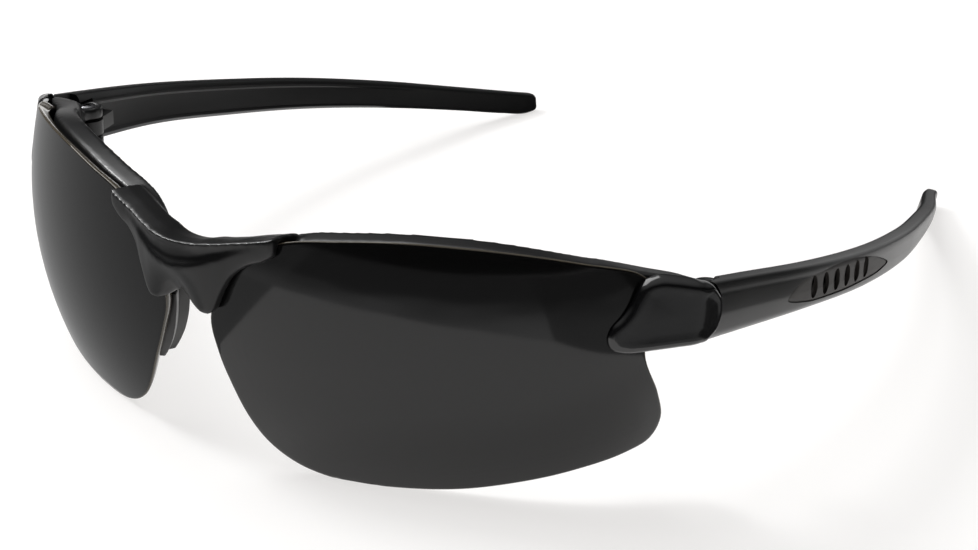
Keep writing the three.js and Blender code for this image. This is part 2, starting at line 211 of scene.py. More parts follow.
class LensWrap:
    """Geometry Nodes tree that bends a flat plate, laid out across, up and depth, into a lens."""

    def __init__(self, surface: "LensSurface", material: bpy.types.Material) -> None:
        """Builds the tree.

        Args:
            surface: The lens surface's sizes, which become the tree's named inputs.
            material: What the lens is made of.
        """
        self.sizes = {
            "Radius Across": surface.radius_across * MM,
            "Radius Up": surface.radius_up * MM,
            "Bend Start": surface.bend_start * MM,
            "Bend Rate": surface.bend_rate / MM,
            "Wrap": surface.wrap,
            "Centre X": surface.centre_x * MM,
            "Centre Y": FRONT_SHIFT.y,
            "Centre Z": surface.centre_z * MM,
        }
        self.tree = new_geometry_tree("lens_wrap", self.sizes)
        nodes = Nodes(self.tree)
        given = nodes.add("NodeGroupInput")
        inputs = [given.term(name) for name in self.sizes]
        radius_across, radius_up, bend_start, bend_rate, wrap, *centre = inputs
        place = nodes.add("GeometryNodeInputPosition").out(0)
        across, up, depth = (
            nodes.add("ShaderNodeSeparateXYZ", {}, {0: place}).term(axis) for axis in ("X", "Y", "Z")
        )
        turn = across / radius_across
        rise = up / radius_up
        bend = bend_rate * (across - bend_start).apply("MAXIMUM", 0.0) ** 2
        sag = radius_across * (1 - turn.apply("COSINE")) + radius_up * (1 - rise.apply("COSINE")) + bend
        lean_x = turn.apply("TANGENT")
        lean_z = rise.apply("TANGENT")
        inward = depth / (lean_x * lean_x + lean_z * lean_z + 1).apply("SQRT")
        x = radius_across * turn.apply("SINE") - inward * lean_x
        y = sag + inward
        z = radius_up * rise.apply("SINE") - inward * lean_z
        cosine, sine = wrap.apply("COSINE"), wrap.apply("SINE")
        placed = nodes.add(
            "ShaderNodeCombineXYZ",
            {},
            {
                "X": x * cosine - y * sine + centre[0],
                "Y": x * sine + y * cosine + centre[1],
                "Z": (z + centre[2]).apply("MAXIMUM", 0.0),
            },
        )
        bent = nodes.add(
            "GeometryNodeSetPosition", {}, {"Geometry": given.out("Geometry"), "Position": placed.out(0)}
        )
        finish_geometry_tree(nodes, bent.out(0), material)


class SlotRow:
    """Geometry Nodes tree that makes a row of slanted oval cutters along a straight line."""

    def __init__(self, sizes: Mapping[str, Any], material: bpy.types.Material) -> None:
        """Builds the tree.

        Args:
            sizes: Named inputs: Count, First, Last, Height, Width, Slant, Tilt and Depth.
            material: What the slots' walls are made of.
        """
        self.sizes = dict(sizes)
        self.tree = new_geometry_tree("slot_row", self.sizes)
        nodes = Nodes(self.tree)
        given = nodes.add("NodeGroupInput")
        line = nodes.add(
            "GeometryNodeMeshLine",
            {"mode": "END_POINTS"},
            {"Count": given.out("Count"), "Start Location": given.out("First"), "Offset": given.out("Last")},
        )
        oval = nodes.add("GeometryNodeMeshCylinder", {}, {"Vertices": 40, "Radius": 0.5, "Depth": 1.0})
        scale = nodes.add(
            "ShaderNodeCombineXYZ",
            {},
            {"X": given.out("Height"), "Y": given.out("Width"), "Z": given.out("Depth")},
        )
        sized = nodes.add("GeometryNodeTransform", {}, {"Geometry": oval.out(0), "Scale": scale.out(0)})
        turned = nodes.add(
            "GeometryNodeTransform", {}, {"Geometry": sized.out(0), "Rotation": (0.0, math.pi / 2, 0.0)}
        )
        for axis, label in (("X", "Slant"), ("Z", "Tilt")):
            turn = nodes.add("ShaderNodeCombineXYZ", {}, {axis: given.out(label)})
            turned = nodes.add(
                "GeometryNodeTransform", {}, {"Geometry": turned.out(0), "Rotation": turn.out(0)}
            )
        row = nodes.add(
            "GeometryNodeInstanceOnPoints", {}, {"Points": line.out(0), "Instance": turned.out(0)}
        )
        finish_geometry_tree(nodes, row.out(0), material)


def new_geometry_tree(name: str, sizes: Mapping[str, Any]) -> bpy.types.NodeTree:
    """Makes an empty Geometry Nodes tree with a geometry input, an input for each size and a geometry output.

    Args:
        name: The tree's name.
        sizes: The inputs' names and values; the values' types set the sockets' types.

    Returns:
        The tree.
    """
    tree = bpy.data.node_groups.new(name, "GeometryNodeTree")
    tree.interface.new_socket("Geometry", in_out="INPUT", socket_type="NodeSocketGeometry")
    kinds = {int: "NodeSocketInt", float: "NodeSocketFloat"}
    for label, value in sizes.items():
        kind = kinds.get(type(value), "NodeSocketVector")
        tree.interface.new_socket(label, in_out="INPUT", socket_type=kind)
    tree.interface.new_socket("Geometry", in_out="OUTPUT", socket_type="NodeSocketGeometry")
    return tree


def finish_geometry_tree(
    nodes: Nodes, geometry: bpy.types.NodeSocket, material: bpy.types.Material
) -> None:
    """Ends a tree in Realize Instances and Set Material.

    Args:
        nodes: The tree.
        geometry: What it has made.
        material: The material of all of it.
    """
    real = nodes.add("GeometryNodeRealizeInstances", {}, {"Geometry": geometry})
    dressed = nodes.add("GeometryNodeSetMaterial", {}, {"Geometry": real.out(0), "Material": material})
    nodes.add("NodeGroupOutput", {}, {"Geometry": dressed.out(0)})


def run_geometry_tree(
    obj: bpy.types.Object, tree: bpy.types.NodeTree, sizes: Mapping[str, Any]
) -> bpy.types.Object:
    """Runs a Geometry Nodes tree on an object and keeps the result as its plain mesh.

    Args:
        obj: The object whose mesh goes in.
        tree: The tree.
        sizes: Values for the tree's named inputs.

    Returns:
        The same object.
    """
    modifier = obj.modifiers.new(tree.name, "NODES")
    modifier.node_group = tree
    for item in tree.interface.items_tree:
        if item.in_out == "INPUT" and item.name in sizes:
            modifier[item.identifier] = sizes[item.name]
    return settle(obj)


# ---------------------------------------------------------------- curves and meshes


def cubic_through(knots: np.ndarray, values: np.ndarray, at: np.ndarray) -> np.ndarray:
    """A smooth curve through values at rising knots.

    Args:
        knots: Rising parameters, one for each value.
        values: Points or numbers, one row for each knot.
        at: The parameters to read the curve at.

    Returns:
        One row for each parameter.
    """
    knots = np.asarray(knots, float)
    values = np.asarray(values, float).reshape(len(knots), -1)
    steps = np.diff(knots)[:, None]
    slopes = np.diff(values, axis=0) / steps
    tangents = np.empty_like(values)
    tangents[0], tangents[-1] = slopes[0], slopes[-1]
    before, after = steps[:-1], steps[1:]
    tangents[1:-1] = (slopes[:-1] * after + slopes[1:] * before) / (before + after)
    index = np.clip(np.searchsorted(knots, at, "right") - 1, 0, len(knots) - 2)
    step = steps[index]
    t = ((np.asarray(at, float) - knots[index])[:, None]) / step
    start, end = values[index], values[index + 1]
    rise = (2 * t**3 - 3 * t**2 + 1) * start + (3 * t**2 - 2 * t**3) * end
    return rise + ((t**3 - 2 * t**2 + t) * tangents[index] + (t**3 - t**2) * tangents[index + 1]) * step


def closed_outline(corners: Sequence[Sequence[float]], count: int) -> np.ndarray:
    """Evenly spaced points on a smooth closed curve.

    Args:
        corners: The points that the curve goes through.
        count: How many points to return.

    Returns:
        The points, one row each.
    """
    points = np.asarray(corners, float)
    wrapped = np.vstack([points[-3:], points, points[:4]])
    knots = np.concatenate([[0], np.cumsum(np.sqrt(np.linalg.norm(np.diff(wrapped, axis=0), axis=1)))])
    fine = cubic_through(knots, wrapped, np.linspace(knots[3], knots[len(points) + 3], count * 12 + 1))
    walked = np.concatenate([[0], np.cumsum(np.linalg.norm(np.diff(fine, axis=0), axis=1))])
    even = np.linspace(0, walked[-1], count + 1)[:-1]
    return np.column_stack([np.interp(even, walked, fine[:, axis]) for axis in range(points.shape[1])])


def polyline_outline(corners: Sequence[Sequence[float]], count: int, rounding: float) -> np.ndarray:
    """Evenly spaced points on a closed outline of straight edges with rounded corners.

    Args:
        corners: The outline's corners.
        count: How many points to return.
        rounding: How far a corner's rounding reaches along each edge.

    Returns:
        The points, one row each.
    """
    rounded = round_corners(np.asarray(corners, float), rounding, 6)
    loop = np.vstack([rounded, rounded[:1]])
    walked = np.concatenate([[0], np.cumsum(np.linalg.norm(np.diff(loop, axis=0), axis=1))])
    even = np.linspace(0, walked[-1], count + 1)[:-1]
    return np.column_stack([np.interp(even, walked, loop[:, axis]) for axis in range(loop.shape[1])])


def round_corners(corners: np.ndarray, reach: float | Sequence[float], steps: int) -> np.ndarray:
    """Replaces each corner of a closed outline with a small curve.

    Args:
        corners: The outline's corners, one row each.
        reach: How far the curve reaches along each edge, for all corners or for each.
        steps: Points in each curve.

    Returns:
        The rounded outline.
    """
    reaches = np.broadcast_to(np.asarray(reach, float), (len(corners),))
    t = np.linspace(0, 1, steps)[:, None]
    curves = []
    for here, before, after, length in zip(corners, np.roll(corners, 1, 0), np.roll(corners, -1, 0), reaches):
        ends = []
        for other in (before, after):
            edge = other - here
            size = np.linalg.norm(edge)
            ends.append(here + edge * min(length / size, 0.48))
        curves.append((1 - t) ** 2 * ends[0] + 2 * t * (1 - t) * here + t**2 * ends[1])
    return np.vstack(curves)


def edge_distance(points: np.ndarray, outline: np.ndarray) -> np.ndarray:
    """How far each point is from a closed outline.

    Args:
        points: Points in the outline's plane, one row each.
        outline: The outline's points, one row each.

    Returns:
        One distance for each point.
    """
    ends = np.roll(outline, -1, 0)
    edge = ends - outline
    to_point = points[:, None, :] - outline[None, :, :]
    share = np.clip((to_point * edge).sum(2) / np.maximum((edge**2).sum(1), 1e-12), 0, 1)
    return np.linalg.norm(to_point - share[:, :, None] * edge, axis=2).min(1)


def fine_rings(rings: Sequence[np.ndarray], steps: int) -> Rings:
    """Adds smoothly placed rings between given ones.

    Args:
        rings: Rings with the same number of points.
        steps: Rings for each stretch between two given ones.

    Returns:
        The rings.
    """
    flat = np.array([np.asarray(ring, float).ravel() for ring in rings])
    at = np.linspace(0, len(rings) - 1, (len(rings) - 1) * steps + 1)
    return [row.reshape(-1, 3) for row in cubic_through(np.arange(len(rings)), flat, at)]


def new_object(name: str, points: np.ndarray, faces: Sequence[Sequence[int]]) -> bpy.types.Object:
    """Makes a mesh object from points that are already in the row frame.

    Args:
        name: The object's name.
        points: Its vertices in metres.
        faces: Its faces.

    Returns:
        The object, linked to the scene.
    """
    mesh = bpy.data.meshes.new(name)
    mesh.from_pydata(points.tolist(), [], faces)
    mesh.validate()
    obj = bpy.data.objects.new(name, mesh)
    bpy.context.scene.collection.objects.link(obj)
    return obj


def skin_faces(ring_count: int, ring_size: int) -> list[tuple[int, ...]]:
    """The faces of a closed skin over rings, with a fan over each end.

    Args:
        ring_count: How many rings.
        ring_size: Points in each ring.

    Returns:
        The faces; the two hubs follow the rings' points.
    """
    faces: list[tuple[int, ...]] = []
    first_hub = ring_count * ring_size
    last = first_hub - ring_size
    for k in range(ring_size):
        after = (k + 1) % ring_size
        for row in range(ring_count - 1):
            base = row * ring_size
            faces.append((base + k, base + after, base + ring_size + after, base + ring_size + k))
        faces.append((first_hub, after, k))
        faces.append((first_hub + 1, last + k, last + after))
    return faces


def turned_outwards(obj: bpy.types.Object) -> bpy.types.Object:
    """Turns a closed piece's faces outwards and returns it."""
    shape = bmesh.new()
    shape.from_mesh(obj.data)
    if shape.calc_volume(signed=True) < 0:
        obj.data.flip_normals()
    shape.free()
    return obj


def loft(name: str, rings: Rings, placed: bool = True) -> bpy.types.Object:
    """Makes a closed piece over rings of points.

    Args:
        name: The object's name.
        rings: Rings in millimetres, in the front's coordinates.
        placed: Whether the piece is moved to the row frame.

    Returns:
        The object, with its faces turned outwards.
    """
    points = np.vstack([*rings, rings[0].mean(0), rings[-1].mean(0)]) * MM
    if placed:
        points += np.array(FRONT_SHIFT)
    return turned_outwards(new_object(name, points, skin_faces(len(rings), len(rings[0]))))


def prism(name: str, outline: np.ndarray, bottom: float, top: float) -> bpy.types.Object:
    """Makes an upright prism.

    Args:
        name: The object's name.
        outline: Its plan, x and y in millimetres.
        bottom: The height of its lower face.
        top: The height of its upper face.

    Returns:
        The object.
    """
    return loft(name, [np.column_stack([outline, np.full(len(outline), z)]) for z in (bottom, top)])


def circle(x: float, y: float, radius: float, count: int = 48) -> np.ndarray:
    """Points round a circle in plan."""
    turn = np.linspace(0, 2 * math.pi, count + 1)[:-1]
    return np.column_stack([x + radius * np.cos(turn), y + radius * np.sin(turn)])


def settle(obj: bpy.types.Object) -> bpy.types.Object:
    """Turns an object with modifiers into its plain resulting mesh.

    Args:
        obj: The object.

    Returns:
        The same object with no modifiers.
    """
    result = bpy.data.meshes.new_from_object(obj.evaluated_get(bpy.context.evaluated_depsgraph_get()))
    obj.modifiers.clear()
    obj.data = result
    result.name = obj.name
    return obj


def cut(obj: bpy.types.Object, *others: bpy.types.Object, operation: str = "DIFFERENCE") -> bpy.types.Object:
    """Cuts other solids from an object, or joins them to it, and removes them.

    Args:
        obj: The solid that is kept.
        others: The solids that are used up.
        operation: A Boolean modifier's operation.

    Returns:
        The kept object.
    """
    for other in others:
        modifier = obj.modifiers.new("cut", "BOOLEAN")
        modifier.operation = operation
        modifier.solver = "EXACT"
        modifier.object = other
    settle(obj)
    for other in others:
        bpy.data.objects.remove(other)
    return obj


def fuse(name: str, solids: Sequence[bpy.types.Object], voxel: float, rounds: int) -> bpy.types.Object:
    """Melts solids into one moulded body with softly rounded edges.

    Args:
        name: The body's name.
        solids: The solids, which are used up.
        voxel: How fine the body is, in millimetres.
        rounds: How often its surface is relaxed.

    Returns:
        The body.
    """
    points, faces = [], []
    for solid in solids:
        faces += [tuple(len(points) + index for index in face.vertices) for face in solid.data.polygons]
        points += [vertex.co[:] for vertex in solid.data.vertices]
        bpy.data.objects.remove(solid)
    body = new_object(name, np.array(points), faces)
    remesh = body.modifiers.new("melt", "REMESH")
    remesh.mode = "VOXEL"
    remesh.voxel_size = voxel * MM
    relax = body.modifiers.new("relax", "SMOOTH")
    relax.factor = 0.5
    relax.iterations = rounds
    return settle(body)


def mirror(obj: bpy.types.Object, name: str) -> bpy.types.Object:
    """Makes the mirror image of a piece on the other side of the glasses.

    Args:
        obj: The piece.
        name: The new piece's name.

    Returns:
        The new piece, with its faces turned outwards.
    """
    mesh = obj.data.copy()
    mesh.transform(Matrix.Diagonal((-1.0, 1.0, 1.0, 1.0)))
    mesh.flip_normals()
    mesh.name = name
    copy = bpy.data.objects.new(name, mesh)
    bpy.context.scene.collection.objects.link(copy)
    return copy


def joint_place(name: str) -> Vector:
    """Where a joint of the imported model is, in the row frame."""
    return Vector(next(joint["pos_m"] for joint in frame["joints"] if joint["name"] == name))


@dataclass(frozen=True)
class HingeSizes:
    """The hinge line of the left temple, in the front's coordinates, and the pieces on it."""

    x: float = 59.7
    y: float = 30.4
    knuckle_radius: float = 2.6
    clear_radius: float = 3.05
    bottom: float = 22.4
    lower_top: float = 24.6
    upper_bottom: float = 27.7
    top: float = 29.9
    web_half: float = 1.9
    screw_radius: float = 0.8
    head_radius: float = 1.5
    head_height: float = 0.7
    nut_radius: float = 1.45
    nut_height: float = 1.6
    low_end: float = 22.7
    gap: float = 0.1

    def web(self, to_x: float, to_y: float) -> np.ndarray:
        """The plan of the web from the hinge line to the point that carries it.

        Args:
            to_x: The point's x.
            to_y: The point's y.

        Returns:
            Four corners.
        """
        start, end = np.array([self.x, self.y]), np.array([to_x, to_y])
        reach = (end - start) / np.linalg.norm(end - start)
        side = np.array([-reach[1], reach[0]]) * self.web_half
        return np.array([start + side, start - side, end - side, end + side])

    def column(self, name: str, radius: float, low: float, high: float) -> bpy.types.Object:
        """A round column on the hinge line.

        Args:
            name: The object's name.
            radius: Its radius.
            low: Its lower end.
            high: Its upper end.

        Returns:
            The object.
        """
        return prism(name, circle(self.x, self.y, radius), low, high)


HINGE = HingeSizes()
BELOW, ABOVE = 20.0, 40.0  # Heights clear of the hinge, for cutters that go right through it.
FRONT_SHIFT = joint_place("temple_left_fold") - Vector((HINGE.x * MM, HINGE.y * MM, 0))
FRONT_SHIFT.z = 0.0


# ---------------------------------------------------------------- finishes


# Name of the mask that says where painted light goes on a lens's edge.
LIT_EDGE_ATTRIBUTE = "edge"
PATCH_SHARE = 0.6  # How much of a tone's change comes from the slow patches; the rest is grain.
NOISE_ROUGHNESS = 0.55


@dataclass(frozen=True)
class Finish:
    """A moulded or metal surface, with fine grain and soft changes of gloss."""

    name: str
    tone: tuple[float, float, float]
    roughness: float
    gloss_change: float = 0.06
    patch_size: float = 9.0
    grain_size: float = 0.25
    grain_depth: float = 0.006
    tone_change: float = 0.25
    metallic: float = 0.0
    specular: float = 0.5
    coat: float = 0.0
    coat_roughness: float = 0.05
    alpha: float = 1.0
    # Lighter tone painted on the marked edge for light that comes through it; None for no painted edge light.
    edge_tone: tuple[float, float, float] | None = None

    def make(self) -> bpy.types.Material:
        """Builds the material.

        Returns:
            A node material on Object coordinates.
        """
        material = bpy.data.materials.new(self.name)
        material.use_nodes = True
        nodes = Nodes(material.node_tree)
        place = nodes.add("ShaderNodeTexCoord").out("Object")
        patches = self._noise(nodes, place, self.patch_size, 4.0)
        grain = self._noise(nodes, place, self.grain_size, 2.0)
        roughness = self.roughness + (patches - 0.5) * (2 * self.gloss_change)
        roughness = roughness + (grain - 0.5) * self.gloss_change
        bump = nodes.add(
            "ShaderNodeBump", {}, {"Height": grain, "Distance": self.grain_depth * MM, "Strength": 1.0}
        )
        sockets = {
            "Base Color": self._colour(nodes, patches, grain),
            "Roughness": roughness,
            "Metallic": self.metallic,
            "Specular IOR Level": self.specular,
            "Coat Weight": self.coat,
            "Coat Roughness": self.coat_roughness,
            "Alpha": self.alpha,
            "Normal": bump.out("Normal"),
        }
        shader = nodes.add("ShaderNodeBsdfPrincipled", {}, sockets)
        nodes.add("ShaderNodeOutputMaterial", {}, {"Surface": shader.out("BSDF")})
        return material

    @staticmethod
    def _noise(nodes: Nodes, place: bpy.types.NodeSocket, size: float, detail: float) -> Term:
        """Noise from 0 to 1 with patches of a size in millimetres."""
        sockets = {"Vector": place, "Scale": 1 / (size * MM), "Detail": detail, "Roughness": NOISE_ROUGHNESS}
        return nodes.add("ShaderNodeTexNoise", {}, sockets).term("Fac")

    def _colour(self, nodes: Nodes, patches: Term, grain: Term) -> bpy.types.NodeSocket:
        """The tone with its soft changes, with painted light mixed in on an edge marked as letting light
        through.

        Args:
            nodes: The material's tree.
            patches: Slow noise.
            grain: Fine noise.

        Returns:
            A colour socket.
        """
        dark = (*(part * (1 - self.tone_change) for part in self.tone), 1.0)
        light = (*(part * (1 + self.tone_change) for part in self.tone), 1.0)
        share = patches * PATCH_SHARE + grain * (1 - PATCH_SHARE)
        body = nodes.add("ShaderNodeMix", {"data_type": "RGBA"}, {"Factor": share, 6: dark, 7: light}).out(2)
        if self.edge_tone is None:
            return body
        # Painted light: the marked edge is mixed towards a lighter amber tone, for light coming through the
        # lens's edge.
        edge = nodes.add("ShaderNodeAttribute", {"attribute_name": LIT_EDGE_ATTRIBUTE}).term("Fac")
        return nodes.add(
            "ShaderNodeMix", {"data_type": "RGBA"}, {"Factor": edge, 6: body, 7: (*self.edge_tone, 1.0)}
        ).out(2)


class Look(Enum):
    """The finishes that the glasses are made in."""

    SATIN_NYLON = Finish("satin_nylon", (0.006, 0.006, 0.0063), 0.31, 0.05, 12.0, 0.22, 0.005, specular=0.38)
    GLOSS_CAP = Finish("gloss_cap", (0.006, 0.006, 0.0065), 0.16, 0.05, 7.0, 1.4, 0.004, coat=0.4)
    # The smoke lens's lit edge tone is painted light coming through the lens's edge.
    SMOKE_LENS = Finish(
        "smoke_lens", (0.0035, 0.0035, 0.0036), 0.08, 0.03, 16.0, 6.0, 0.002,
        specular=0.47, alpha=0.995, edge_tone=(0.075, 0.064, 0.048),
    )  # fmt: skip
    CARRIER = Finish("carrier_plastic", (0.011, 0.0108, 0.0105), 0.3, 0.05, 5.0, 0.2, 0.005)
    PAD_RUBBER = Finish("pad_rubber", (0.016, 0.0155, 0.015), 0.62, 0.06, 4.0, 0.12, 0.012)
    INLAY_RUBBER = Finish("inlay_rubber", (0.036, 0.032, 0.029), 0.55, 0.06, 5.0, 0.14, 0.01)
    SCREW_STEEL = Finish("screw_steel", (0.11, 0.11, 0.115), 0.32, 0.06, 1.2, 0.06, 0.004, 0.1, metallic=1.0)
    NUT_BRASS = Finish("nut_brass", (0.72, 0.53, 0.24), 0.3, 0.06, 1.2, 0.08, 0.004, 0.1, metallic=1.0)


class Wardrobe:
    """Makes each material once."""

    def __init__(self) -> None:
        """Starts with nothing made."""
        self.made: dict[Look, bpy.types.Material] = {}

    def get(self, look: Look) -> bpy.types.Material:
        """The material of a look."""
        if look not in self.made:
            self.made[look] = look.value.make()
        return self.made[look]


WARDROBE = Wardrobe()
CRISP = 38  # Crease angle, in degrees, of a piece with edges of its own.
MELTED = 120  # Crease angle, in degrees, of a body with softly rounded edges throughout.


def hand_over(
    obj: bpy.types.Object, look: Look, body: Body, node: str, crease: float = CRISP
) -> None:
    """Dresses a finished piece and hands it to the frame.

    Args:
        obj: The piece.
        look: Its finish.
        body: The body that it rides on.
        node: The CAD node that it stands for.
        crease: The angle in degrees from which an edge looks sharp.
    """
    obj.data.materials.clear()
    obj.data.materials.append(WARDROBE.get(look))
    obj.data.shade_smooth()
    obj.data.set_sharp_from_angle(angle=math.radians(crease))
    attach(obj, body.value)
    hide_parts(node)
    log.info("%s: %d faces on %s, %s", obj.name, len(obj.data.polygons), body.value, look.value.name)


def both_sides(
    obj: bpy.types.Object, stem: str, look: Look, on_temple: bool = False, crease: float = CRISP
) -> None:
    """Hands over a left piece and its mirror image.

    Args:
        obj: The left piece.
        stem: The CAD nodes' name without its side.
        look: The finish.
        on_temple: Whether the pieces ride on the temples.
        crease: The angle in degrees from which an edge looks sharp.
    """
    pieces = {Side.LEFT: obj, Side.RIGHT: mirror(obj, f"{obj.name}_{Side.RIGHT.tag}")}
    obj.name = f"{obj.name}_{Side.LEFT.tag}"
    obj.data.name = obj.name
    for side, piece in pieces.items():
        body = side.temple_body if on_temple else Body.FRONT
        hand_over(piece, look, body, f"{stem}_{side.tag}", crease)


# ---------------------------------------------------------------- lens


@dataclass(frozen=True)
class LensSurface:
    """The front surface of the left lens: a wrapped barrel that bends back a little more at the temple."""

    centre_x: float = 39.0
    centre_z: float = 22.95
    wrap: float = math.radians(31)
    radius_across: float = 68.5
    radius_up: float = 60.0
    bend_start: float = 12.0
    bend_rate: float = 0.0082


@dataclass
class Lens:
    """A lens and the places on its surface that its neighbours take."""

    surface: LensSurface = LensSurface()
    rim: tuple[tuple[float, float], ...] = (
        (25.4, -0.5), (25.6, 5.4), (25.2, 9.8), (23.3, 11.6), (15, 13.7), (6.9, 14.9), (-1, 15.4), (-9, 15.3),
        (-17, 14.4), (-25.5, 12.7), (-30.5, 9.8), (-34.6, 5.2), (-36.8, -0.5), (-35.5, -5.6), (-33.5, -10),
        (-30.4, -15.6), (-27.2, -19.4), (-22.5, -22.4), (-16.5, -23.8), (-9, -23.6), (0.7, -22.6),
        (9, -20.7), (17.4, -18.4), (24, -16.6), (27.6, -14.9), (29, -11.6), (28, -7),
    )  # fmt: skip
    rim_count: int = 240
    # Across the edge, from the front face round to the back: reach beyond the rim, and depth.
    edge: tuple[tuple[float, float], ...] = (
        (-0.3, 0.0), (-0.12, 0.03), (-0.03, 0.12), (-0.02, 0.3), (-0.3, 0.9), (-0.75, 1.65), (-0.92, 1.88),
        (-1.2, 2.0),
    )  # fmt: skip
    thickness: float = 2.0
    face_shares: tuple[float, ...] = (0.03, 0.1, 0.2, 0.3, 0.4, 0.5, 0.6, 0.7, 0.8, 0.88, 0.94, 0.975)

    def __post_init__(self) -> None:
        """Lays out the rim and the tree that wraps it."""
        self.outline = closed_outline(self.rim, self.rim_count)
        self.wrap = LensWrap(self.surface, WARDROBE.get(Look.SMOKE_LENS))

    def place(self, points: Sequence[Sequence[float]]) -> np.ndarray:
        """Where points given across, up and depth lie.

        Args:
            points: Millimetres across, up and behind the front surface, one row each.

        Returns:
            Points in the front's coordinates, in millimetres.
        """
        probe = new_object("probe", np.asarray(points, float) * MM, [])
        run_geometry_tree(probe, self.wrap.tree, self.wrap.sizes)
        found = np.array([vertex.co for vertex in probe.data.vertices])
        bpy.data.objects.remove(probe)
        return (found - np.array(FRONT_SHIFT)) / MM

    def rim_height(self, across: float) -> float:
        """How high the rim's upper edge is at a distance across."""
        above = self.outline[self.outline[:, 1] > 0]
        above = above[np.argsort(above[:, 0])]
        return float(np.interp(across, above[:, 0], above[:, 1]))

    def _ring(self, share: float, reach: float, depth: float) -> np.ndarray:
        """One flat ring of the plate, at a share of the rim and a reach beyond it."""
        size = np.linalg.norm(self.outline, axis=1, keepdims=True)
        flat = self.outline * share * (1 + reach / size)
        return np.column_stack([flat, np.full(len(flat), depth)])

    def solid(self, name: str, growth: float = 0.0) -> bpy.types.Object:
        """The lens, or the room that it needs in a piece that holds it.

        Args:
            name: The object's name.
            growth: How much larger than the lens it is all over.

        Returns:
            The object in the row frame.
        """
        front = [self._ring(share, growth, -growth) for share in self.face_shares]
        edge = [
            self._ring(1.0, reach + growth, depth + growth * (2 * depth / self.thickness - 1))
            for reach, depth in self.edge
        ]
        back = [
            self._ring(share, self.edge[-1][0] + growth, self.thickness + growth)
            for share in reversed(self.face_shares)
        ]
        plate = loft(name, [*front, *edge, *back], placed=False)
        # Marks the edge bevel, where the lens material paints the light that comes through its edge.
        lit_edge_marks = np.zeros(len(plate.data.vertices), np.float32)
        first = len(front) * self.rim_count
        lit_edge_marks[first + self.rim_count : first + (len(edge) - 1) * self.rim_count] = 1.0
        plate.data.attributes.new(LIT_EDGE_ATTRIBUTE, "FLOAT", "POINT").data.foreach_set("value", lit_edge_marks)
        return turned_outwards(run_geometry_tree(plate, self.wrap.tree, self.wrap.sizes))

    def build(self) -> None:
        """Makes both lenses."""
        both_sides(self.solid("lens_shell"), "lens", Look.SMOKE_LENS)


# ---------------------------------------------------------------- front frame


